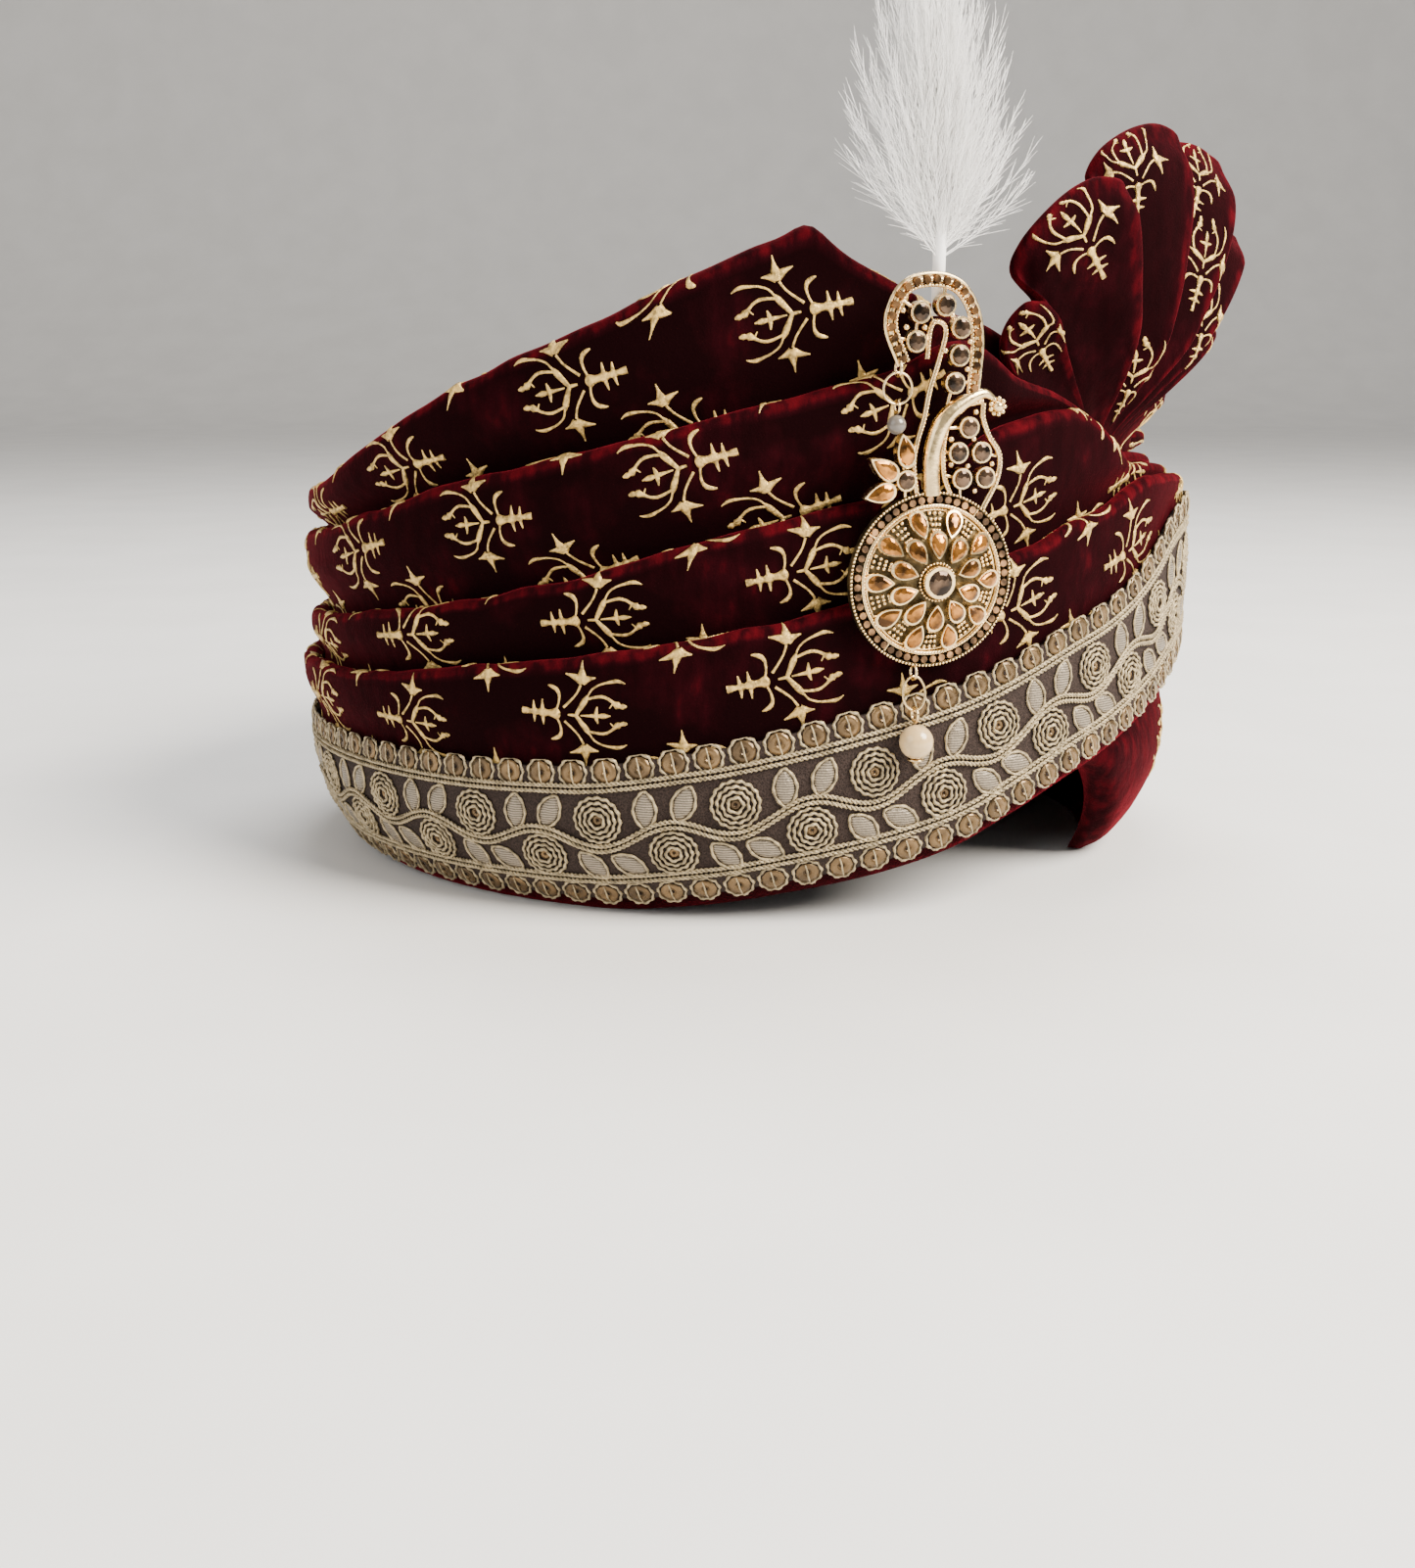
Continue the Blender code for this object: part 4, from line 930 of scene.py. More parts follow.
def fan_point(angle, reach, swing, lean, share, depth):
    """A point of the fan's cloth: share is the way from foot to top, depth the way to its back."""
    turn = math.radians(angle)
    run = FAN_ROOT + (reach * FAN_HEIGHT - FAN_ROOT) * share
    azimuth = FAN_AZIMUTH + math.degrees(run * math.sin(turn) / FAN_RADIUS)
    height = FAN_FOOT_HEIGHT + run * math.cos(turn)
    fold = layers_at(azimuth)[2]
    seat = fold.inner(min(height, fold.shoulder)) - FAN_GAP
    above = height - fold.top
    free = smooth(above / FULL_FACE)
    flare = lean * FAN_FLARE * smooth(above / (0.75 * FAN_HEIGHT)) + FACE_SET_IN * free
    pleat = PLEAT_DEPTH * swing * smooth(above / (2.0 * FULL_FACE))
    curl = 0.35 * PLEAT_DEPTH * smooth((share - 0.86) / 0.14) * free
    soft = 0.0006 * noise.noise(Vector((angle / 9.0, height / 0.016, 5.0))) * free
    return place(azimuth, seat + flare + pleat - curl + soft - depth * FAN_THICKNESS, height)


@functools.cache
def fan_sections():
    sections = []
    for angle, reach, swing, lean in fan_lines():
        tip = 0.5 * FAN_THICKNESS / (reach * FAN_HEIGHT)
        rolls = math.pi * np.arange(1, FAN_ROLL_SAMPLES + 1) / (FAN_ROLL_SAMPLES + 1.0)
        ways = [(share, 0.0) for share in np.linspace(0.0, 1.0 - tip, FAN_FACE_SAMPLES)]
        ways += [(1.0 - tip + tip * math.sin(turn), 0.5 - 0.5 * math.cos(turn)) for turn in rolls]
        ways += [(share, 1.0) for share in np.linspace(1.0 - tip, 0.0, FAN_BACK_SAMPLES)]
        sections.append([fan_point(angle, reach, swing, lean, *way) for way in ways])
    return sections


@functools.cache
def fan_net():
    return ClothNet([section[:FAN_FACE_SAMPLES + 4] for section in fan_sections()], False)


def fan_spot(angle, distance):
    """Row and column of the fan's net, from an angle at its foot and a distance from there."""
    lines = fan_lines()
    row = float(np.interp(angle, lines[:, 0], np.arange(len(lines))))
    reach = float(np.interp(angle, lines[:, 0], lines[:, 1])) * FAN_HEIGHT
    share = (distance - FAN_ROOT) / (reach - FAN_ROOT)
    return row, (FAN_FACE_SAMPLES - 1.0) * share


@functools.cache
def lace_net():
    """The band's face: columns run from its lower edge to its upper one."""
    rows = []
    out = LACE_SEAT_GAP + LACE_THICKNESS
    for azimuth in range(ROWS_ROUND):
        layer = fold_layers()[azimuth][0]
        levels = np.linspace(lace_low(azimuth), lace_high(azimuth), LACE_COLUMNS)
        rows.append([place(azimuth, layer.outer(level) + out, level) for level in levels])
    return ClothNet(rows, True)


def lace_places(pitch, share, shift=0.0):
    """Rows and column of even places along the band, about a pitch apart."""
    net = lace_net()
    column = share * (LACE_COLUMNS - 1)
    turns = np.arange(ROWS_ROUND, dtype=float)
    line = net.read(net.points, turns, np.full(ROWS_ROUND, column))
    steps = np.linalg.norm(np.roll(line, -1, axis=0) - line, axis=1)
    lengths = np.concatenate([[0.0], np.cumsum(steps)])
    count = max(4, round(lengths[-1] / pitch))
    wanted = (np.arange(count) + shift) / count * lengths[-1]
    return np.interp(wanted, lengths, np.arange(ROWS_ROUND + 1)), column


def trail(net, rows, columns, lifts):
    """Points on a net, lifted off the cloth."""
    base = net.read(net.points, rows, columns)
    return base + net.read(net.normals, rows, columns) * np.asarray(lifts)[:, None]


# Materials. A pattern is (kind, scale, detail) on the piece's own coordinates. Tones are stops of
# (place, share of the colour). Gloss is a pattern with stops of roughness. Relief is the scale,
# detail, strength and distance of a fine bump.
THREAD_SHINE = {"Specular IOR Level": 0.5}
LOOKS = {
    "gold_thread": (
        ("cloth", "thread", 0.42, 0.55),
        ("Noise", 900.0, 3.0), ((0.34, 0.45), (0.50, 1.0), (0.72, 1.35)),
        (("Noise", 700.0, 2.0), ((0.3, 0.30), (0.7, 0.62))),
        (2300.0, 1.0, 0.7, 0.0004), THREAD_SHINE,
    ),
    "lace_cord": (
        ("lace", "cord", 0.42, 0.35),
        ("Noise", 700.0, 3.0), ((0.32, 0.5), (0.52, 1.0), (0.75, 1.3)),
        None, (2600.0, 2.0, 0.6, 0.0003), THREAD_SHINE,
    ),
    "satin_stitch": (
        ("lace", "leaf", 0.42, 0.3),
        ("Wave", 560.0, 2.0), ((0.10, 0.40), (0.45, 1.0), (0.85, 1.45)),
        None, (1700.0, 1.0, 0.7, 0.0004), THREAD_SHINE,
    ),
    "sequin_foil": (
        ("lace", "sequin", 0.30, 0.60),
        ("Noise", 160.0, 2.0), ((0.35, 0.6), (0.50, 1.0), (0.68, 1.6)),
        (("Noise", 420.0, 2.0), ((0.35, 0.16), (0.65, 0.42))), (700.0, 1.0, 0.25, 0.0004),
        {"Specular IOR Level": 0.6},
    ),
    "pale_gilt": (
        ("clip", "metal", 0.22, 1.0),
        ("Noise", 330.0, 3.0), ((0.30, 0.72), (0.55, 1.0), (0.75, 1.1)),
        (("Noise", 900.0, 3.0), ((0.35, 0.14), (0.70, 0.34))), (1300.0, 2.0, 0.18, 0.0002),
        {"Coat Weight": 0.15, "Coat Roughness": 0.1},
    ),
    # Very dark gilt for the plate: painted shade standing for the gaps and recesses between the
    # settings
    "darkened_gilt": (
        ("clip", "metal", 0.45, 1.0),
        ("Noise", 500.0, 3.0), ((0.35, 0.03), (0.55, 0.08), (0.75, 0.22)),
        None, (1500.0, 3.0, 0.4, 0.0004), {},
    ),
    "white_down": (
        ("plume", "colour", 0.6, 0.0),
        ("Noise", 120.0, 3.0), ((0.3, 0.93), (0.6, 1.0)), None, None, {
            "Sheen Weight": 0.8, "Sheen Roughness": 0.5, "Specular IOR Level": 0.3,
            "Subsurface Weight": 0.4, "Subsurface Radius": (0.004, 0.004, 0.004),
        },
    ),
    "pale_floor": (
        ("stage", "floor", 0.6, 0.0),
        ("Noise", 14.0, 4.0), ((0.35, 0.97), (0.65, 1.02)),
        None, None, {"Specular IOR Level": 0.2},
    ),
}
# Coloured cut glass backed with foil. The colour pattern paints bright and dark patches across each
# stone, painted glints and painted shade, so that each facet shines or goes dark.
for stone, setting in (("amber_stone", "amber"), ("smoky_stone", "smoky"), ("seed_stone", "seeds")):
    LOOKS[stone] = (
        ("clip", setting, 0.13, 0.85),
        ("Noise", 260.0, 3.0), ((0.38, 0.22), (0.50, 1.0), (0.62, 2.2)),
        None, None, {"IOR": 1.5, "Coat Weight": 0.20, "Coat Roughness": 0.05},
    )
for bead, setting in (("cream_pearl", "pearl"), ("grey_pearl", "grey_pearl")):
    LOOKS[bead] = (
        ("clip", setting, 0.24, 0.0),
        ("Noise", 420.0, 3.0), ((0.35, 0.84), (0.55, 1.0), (0.75, 1.08)),
        None, (900.0, 2.0, 0.08, 0.0003),
        {"Coat Weight": 0.7, "Coat Roughness": 0.12, "Sheen Weight": 0.15},
    )


def new_material(name, colour, roughness, metallic, constants):
    """A material with its even values set on the shader itself."""
    made = bpy.data.materials.new(name)
    made.use_nodes = True
    made.diffuse_color = (*colour[:3], 1.0)
    even = {"Base Color": (*colour[:3], 1.0), "Roughness": roughness, "Metallic": metallic}
    for socket, value in (even | constants).items():
        made.node_tree.nodes["Principled BSDF"].inputs[socket].default_value = value
    return made


def grain(made, kind, scale, detail, stretch=(1.0, 1.0, 1.0), source="Object"):
    """A noise, cell or wave pattern on the piece's own coordinates. Gives its value socket."""
    nodes, links = made.node_tree.nodes, made.node_tree.links
    place_node = nodes.new("ShaderNodeTexCoord")
    turn = nodes.new("ShaderNodeMapping")
    turn.inputs["Scale"].default_value = stretch
    links.new(place_node.outputs[source], turn.inputs["Vector"])
    texture = nodes.new("ShaderNodeTex" + kind)
    texture.inputs["Scale"].default_value = scale
    if kind == "Noise":
        texture.inputs["Detail"].default_value = detail
    if kind == "Wave":
        texture.bands_direction = "Z"
        texture.inputs["Distortion"].default_value = detail
    links.new(turn.outputs["Vector"], texture.inputs["Vector"])
    return texture.outputs["Distance" if kind == "Voronoi" else "Fac"]


def ramp(made, value, stops, socket=None):
    """Maps a pattern to colours or to grey levels, and links them to a socket of the shader."""
    nodes, links = made.node_tree.nodes, made.node_tree.links
    node = nodes.new("ShaderNodeValToRGB")
    while len(node.color_ramp.elements) < len(stops):
        node.color_ramp.elements.new(0.5)
    for element, (where, colour) in zip(node.color_ramp.elements, stops):
        element.position = where
        channels = colour if isinstance(colour, tuple) else (colour, colour, colour)
        element.color = (*channels, 1.0)
    links.new(value, node.inputs["Fac"])
    if socket:
        links.new(node.outputs["Color"], nodes["Principled BSDF"].inputs[socket])
    return node.outputs["Color"]


def tones(colour, stops):
    return [(where, tuple(channel * share for channel in colour[:3])) for where, share in stops]


def combine(made, operation, first, second):
    node = made.node_tree.nodes.new("ShaderNodeMath")
    node.operation = operation
    for value, socket in zip((first, second), node.inputs):
        made.node_tree.links.new(value, socket)
    return node.outputs["Value"]


def roughen(made, value, strength, distance):
    """Turns a pattern into fine relief, on top of the relief that is there."""
    nodes, links = made.node_tree.nodes, made.node_tree.links
    bump = nodes.new("ShaderNodeBump")
    bump.inputs["Strength"].default_value = strength
    bump.inputs["Distance"].default_value = distance
    links.new(value, bump.inputs["Height"])
    shader = nodes["Principled BSDF"]
    if shader.inputs["Normal"].is_linked:
        links.new(shader.inputs["Normal"].links[0].from_socket, bump.inputs["Normal"])
    links.new(bump.outputs["Normal"], shader.inputs["Normal"])


@functools.cache
def surface(name):
    """Makes a material from its row of LOOKS, in the colour that the settings give."""
    (group, setting, roughness, metallic), pattern, stops, gloss, relief, constants = LOOKS[name]
    colour = getattr(getattr(bpy.context.scene, "turban_" + group), setting)
    made = new_material(name, colour, roughness, metallic, constants)
    ramp(made, grain(made, *pattern), tones(colour, stops), "Base Color")
    if gloss:
        ramp(made, grain(made, *gloss[0]), gloss[1], "Roughness")
    if relief:
        roughen(made, grain(made, "Noise", *relief[:2]), *relief[2:])
    return made


@functools.cache
def velvet():
    """Deep pile, nearly black, with random crushed patches in a redder tone; painted sheen, read
    from an attribute of the cloth, turns it red along the rolls, ridges and sides.
    """
    look = bpy.context.scene.turban_cloth
    pile = new_material("velvet", look.velvet, 0.9, 0.0, {
        "Sheen Weight": 0.42, "Sheen Roughness": 0.30, "Sheen Tint": (*look.nap, 1.0),
        "Specular IOR Level": 0.03,
    })
    painted_sheen = pile.node_tree.nodes.new("ShaderNodeAttribute")
    painted_sheen.attribute_name = "nap"
    crushed = ramp(pile, grain(pile, "Noise", 62.0, 6.0), ((0.50, 0.0), (0.68, 0.44)))
    brushed = grain(pile, "Noise", 300.0, 5.0, (1.2, 1.2, 0.4))
    brushed = ramp(pile, brushed, ((0.36, 0.25), (0.66, 1.0)))
    # How red the pile is: painted sheen from the cloth, or the crushed patches where they are
    # stronger, thinned by the brushed streaks
    amount = combine(pile, "MAXIMUM", painted_sheen.outputs["Fac"], crushed)
    amount = combine(pile, "MULTIPLY", amount, brushed)
    deep = tones(look.velvet, ((0.0, 0.75), (0.28, 2.2)))
    ramp(pile, amount, [*deep, (1.0, tuple(look.painted_sheen))], "Base Color")
    roughen(pile, grain(pile, "Noise", 2400.0, 2.0), 0.5, 0.0003)
    roughen(pile, grain(pile, "Noise", 230.0, 3.0), 0.35, 0.0007)
    return pile


@functools.cache
def tulle():
    colour = bpy.context.scene.turban_lace.net
    net = new_material("lace_net", colour, 0.8, 0.0, {"Specular IOR Level": 0.15})
    cells = grain(net, "Voronoi", 1.0, 0.0, (2200.0, 2200.0, 1.0), "UV")
    ramp(net, cells, tones(colour, ((0.15, 0.55), (0.45, 1.0), (0.80, 1.35))), "Base Color")
    roughen(net, cells, 0.6, 0.0003)
    return net


# Settings that a user would change


def colour_setting(label, help_text, value):
    return bpy.props.FloatVectorProperty(
        name=label, description=help_text, subtype="COLOR", size=3, min=0.0, max=1.0, default=value,
    )


def length_setting(label, help_text, value):
    return bpy.props.FloatProperty(
        name=label, description=help_text, default=value, min=0.0, precision=5, unit="LENGTH",
    )


def count_setting(label, help_text, value, least):
    return bpy.props.IntProperty(name=label, description=help_text, default=value, min=least)


def light_setting(label, help_text, value, unit="POWER"):
    return bpy.props.FloatProperty(name=label, description=help_text, default=value, unit=unit)


class TurbanCloth(bpy.types.PropertyGroup):
    """Velvet and embroidery."""

    velvet: colour_setting("Velvet", "Colour at the foot of the pile", (0.0060, 0.0003, 0.0008))
    # Colour of the painted sheen along rolls, ridges and sides; the random crushed patches blend
    # partway towards it too
    painted_sheen: colour_setting(
        "Opened pile", "Colour where a fold or a crush opens the pile", (0.080, 0.0022, 0.0055)
    )
    nap: colour_setting("Nap", "Colour of the sheen on the pile", (0.55, 0.030, 0.055))
    thread: colour_setting("Thread", "Colour of the metal thread", (0.600, 0.400, 0.125))
    ripple: length_setting("Ripple", "How far the wound velvet swells", 0.0010)
    motif: length_setting("Motif height", "Height of each embroidered motif", 0.0243)


class TurbanLace(bpy.types.PropertyGroup):
    """The lace band."""

    net: colour_setting("Net", "Colour of the net ground", (0.027, 0.018, 0.015))
    cord: colour_setting("Cord", "Colour of the cords", (0.410, 0.325, 0.190))
    leaf: colour_setting("Leaf", "Colour of the satin leaves", (0.205, 0.168, 0.122))
    sequin: colour_setting("Sequin", "Colour of the sequins", (0.130, 0.080, 0.034))
    sequin_size: length_setting("Sequin size", "Diameter of a sequin", 0.0052)
    sequin_pitch: length_setting("Sequin spacing", "Distance between sequins at the edges", 0.0077)
    rose_size: length_setting("Rose size", "Diameter of a corded rose", 0.0112)
    rose_pitch: length_setting("Rose spacing", "Distance between roses in a row", 0.0307)


class TurbanClip(bpy.types.PropertyGroup):
    """Clip, stones and pearls."""

    metal: colour_setting("Metal", "Colour of the gilt metal", (0.930, 0.690, 0.350))
    amber: colour_setting("Amber", "Colour of the drop-shaped stones", (0.270, 0.108, 0.018))
    smoky: colour_setting("Smoky", "Colour of the round stones", (0.060, 0.036, 0.021))
    seeds: colour_setting("Small stones", "Colour of the small brown stones", (0.190, 0.098, 0.040))
    pearl: colour_setting("Pearl", "Colour of the hanging pearl", (0.640, 0.440, 0.205))
    grey_pearl: colour_setting("Grey pearl", "Colour of the side pearl", (0.130, 0.110, 0.090))
    bead: length_setting("Bead size", "Diameter of the small metal beads", 0.00070)
    seed: length_setting("Seed size", "Diameter of the small brown stones", 0.0020)


class TurbanPlume(bpy.types.PropertyGroup):
    """The feather."""

    colour: colour_setting("Feather", "Colour of the down", (0.990, 0.980, 0.960))
    barbs: count_setting("Barbs", "Number of barbs", 330, 20)
    barbules: count_setting("Barbules", "Fine hairs on each barb", 24, 4)


class TurbanStage(bpy.types.PropertyGroup):
    """Floor, light and view."""

    floor: colour_setting("Floor", "Colour of the floor and backdrop", (0.820, 0.810, 0.795))
    key: light_setting("Key light", "Window light from the right", 72.0)
    fill: light_setting("Fill light", "Soft light from the left", 11.0)
    sky: light_setting("Sky", "Strength of the even light all round", 0.48, "NONE")


# Cloth pieces


class TURBAN_OT_folds(bpy.types.Operator):
    """Wind the four velvet folds round the turban"""

    bl_idname = "turban.folds"
    bl_label = "Wound folds"

    def execute(self, context):
        depth = context.scene.turban_cloth.ripple
        for number in (1, 2, 3, 4):
            sections = fold_sections(number, depth)
            mesh = cloth_mesh("velvet_fold_%d" % number, sections, True, fold_painted_sheen())
            fold = add_piece(mesh, velvet(), ["wrap_%d" % number])
        return {"FINISHED"}


class TURBAN_OT_crown(bpy.types.Operator):
    """Make the cap inside the folds, gathered to the middle of its top"""

    bl_idname = "turban.crown"
    bl_label = "Crown"

    def execute(self, context):
        mesh = cloth_mesh("velvet_crown", crown_sections(), True)
        crown = add_piece(mesh, velvet(), ["crown"])
        return {"FINISHED"}


class TURBAN_OT_nape(bpy.types.Operator):
    """Make the velvet roll below the raised side of the rim"""

    bl_idname = "turban.nape"
    bl_label = "Nape fold"

    def execute(self, context):
        # Painted sheen, even over the whole nape fold
        nap = [[NAPE_PAINTED_SHEEN] * len(section) for section in nape_sections()]
        mesh = cloth_mesh("velvet_nape", nape_sections(), False, nap)
        nape = add_piece(mesh, velvet(), ["nape_fold"])
        return {"FINISHED"}


class TURBAN_OT_fan(bpy.types.Operator):
    """Pleat the end of the cloth into the fan that stands from the knot"""

    bl_idname = "turban.fan"
    bl_label = "Pleated fan"

    def execute(self, context):
        mesh = cloth_mesh("velvet_fan", fan_sections(), False, fan_painted_sheen())
        fan = add_piece(mesh, velvet(), ["fan"])
        return {"FINISHED"}


def motif_mesh(height):
    """One embroidered motif, flat, with its middle at the origin."""
    mirrored = [[(-x, y, width) for x, y, width in stroke] for stroke in MOTIF_PAIRS]
    strands = []
    for stroke in (*MOTIF_MIDDLE, *MOTIF_PAIRS, *mirrored):
        across, up, width = curve_through(stroke, 2).T
        points = np.stack([across * height, (up - 0.5) * height, np.zeros(len(up))], axis=1)
        fineness = np.clip(0.58 + 5.5 * width, 0.70, 1.05)
        strands.append((points, np.maximum(0.44 * width * fineness * height, 0.00012)))
    pattern = strand_mesh("motif", strands, resolution=1)
    for vertex in pattern.vertices:
        vertex.co.z = 0.00010 + 0.38 * vertex.co.z
    return pattern


def motif_rows(number):
    """Azimuth, share and rise of all motifs on a fold: the middle row and its two neighbours."""
    row = list(FRONT_MOTIFS[number])
    first, last = row[0][0] + 360.0, row[-1][0]
    count = round((first - last) / MOTIF_PITCH)
    row += [(last + (first - last) * step / count, 0.55) for step in range(1, count)]
    found = []
    for index, (azimuth, share) in enumerate(row):
        after, next_share = row[(index + 1) % len(row)]
        between = azimuth + 0.5 * ((after - azimuth) % 360.0)
        middle = 0.5 * (share + next_share)
        found.append((azimuth, share, 0.0))
        found += [(between, middle, rise) for rise in (MOTIF_ROW_RISE, -MOTIF_ROW_RISE)]
    if number > 2:
        found = [spot for spot in found if not FAN_FOOT[0] < folded_turn(spot[0]) < FAN_FOOT[1]]
    return found


class TURBAN_OT_embroidery(bpy.types.Operator):
    """Embroider the motifs on the folds, the fan, the nape and the crown"""

    bl_idname = "turban.embroidery"
    bl_label = "Embroidery"

    def execute(self, context):
        look = context.scene.turban_cloth
        thread = surface("gold_thread")
        pattern = motif_mesh(look.motif)
        chance = random.Random(EMBROIDERY_SEED)
        for number in (1, 2, 3, 4):
            turn = -90.0 if number < 3 else 90.0
            spots = []
            for azimuth, share, rise in motif_rows(number):
                row, column = fold_spot(number, azimuth, share, rise)
                lean, size = chance.uniform(-6.0, 6.0), chance.uniform(0.96, 1.04)
                spots.append((row, column, turn + lean, size))
            net = fold_net(number, look.ripple)
            add_laid("embroidery_%d" % number, pattern, net, spots, thread)
        spots = [(*fan_spot(*where), turn, size) for *where, turn, size in FAN_MOTIFS]
        add_laid("embroidery_fan", pattern, fan_net(), spots, thread)
        nape = ClothNet([section[:NAPE_FACE] for section in nape_sections()], False)
        spots = [(azimuth - NAPE_START, *where, 0.95) for azimuth, *where in NAPE_MOTIFS]
        add_laid("embroidery_nape", pattern, nape, spots, thread)
        top = ClothNet([section[4:33] for section in crown_sections()], True)
        spots = []
        for count, shift, column in CROWN_MOTIF_RINGS:
            spots += [(360.0 * (k + shift) / count, column, 0.0, 1.0) for k in range(count)]
        add_laid("embroidery_crown", pattern, top, spots, thread)
        return {"FINISHED"}


# Lace


def sequin_mesh(size):
    """A dished disc with a hole, turned from its section."""
    builder = bmesh.new()
    outer, hole = 0.5 * size, 0.10 * size
    spin_profile(builder, (
        (hole, 0.0), (hole, 0.00016), (0.6 * outer, 0.00042), (outer, 0.00030), (outer, 0.00012),
    ), 12)
    bmesh.ops.recalc_face_normals(builder, faces=builder.faces)
    return mesh_from(builder, "sequin")


def leaf_mesh(length, width):
    """A padded satin leaf, pointed at both ends, with its stitches as cross ridges."""
    builder = bmesh.new()
    bmesh.ops.create_uvsphere(builder, u_segments=12, v_segments=20, radius=1.0)
    upright = Matrix.Rotation(0.5 * math.pi, 3, "X")
    bmesh.ops.rotate(builder, verts=builder.verts, cent=(0, 0, 0), matrix=upright)
    for vertex in builder.verts:
        x, y, z = vertex.co
        pinch = 1.0 - 0.45 * abs(y) ** 2.5
        ridge = 1.0 + 0.16 * math.cos(LEAF_STITCHES * math.acos(clamp(y, -1.0, 1.0)))
        height = LEAF_PADDING * max(z, -0.2) * ridge
        vertex.co = (0.5 * width * x * pinch, 0.5 * length * y, height)
    return mesh_from(builder, "leaf")


def leaf_outline(length, width, cord):
    """Points and radii of the cord that is sewn round a leaf."""
    turns = 2.0 * np.pi * np.arange(40) / 40
    along = np.sin(turns)
    pinch = 1.0 - 0.42 * np.abs(along) ** 2.5
    bump = 1.0 + 0.03 * np.cos(LEAF_STITCHES * turns)
    across = 0.5 * width * np.cos(turns) * pinch * bump
    points = np.stack([across, 0.5 * length * along, np.zeros(40)], axis=1)
    return points, cord * (1.0 + 0.22 * np.sin(LEAF_STITCHES * turns))


def twisted(net, course, lift):
    """The two plies of a cord on the band. Course gives rows and columns for shares of the way."""
    where = np.arange(CORD_TURNS * 4) / (CORD_TURNS * 4)
    rows, columns = course(where)
    found = []
    for ply in (0.0, 0.5):
        twist = 2.0 * np.pi * (where * CORD_TURNS + ply)
        path = trail(net, rows, columns + 0.42 * np.cos(twist), lift + 0.00026 * np.sin(twist))
        found.append((path, np.full(len(path), CORD_PLY)))
    return found


def knotted_ring(radius, ply, bump):
    """A flat ring of plied cord: it swells and swings a little with each twist."""
    bumps = max(5, round(2.0 * math.pi * radius / bump))
    turns = 2.0 * np.pi * np.arange(bumps * 4) / (bumps * 4)
    reach = radius + 0.00016 * np.cos(turns * bumps)
    lift = 0.00012 * np.sin(turns * bumps)
    points = np.stack([reach * np.cos(turns), reach * np.sin(turns), lift], axis=1)
    return points, ply * (1.0 + 0.22 * np.sin(turns * bumps + 0.6))


def rose_places(look):
    """Rows of places for the roses of the upper and of the lower line, and their column."""
    for share, shift in ROSE_LINES:
        yield lace_places(look.rose_pitch, share, shift)


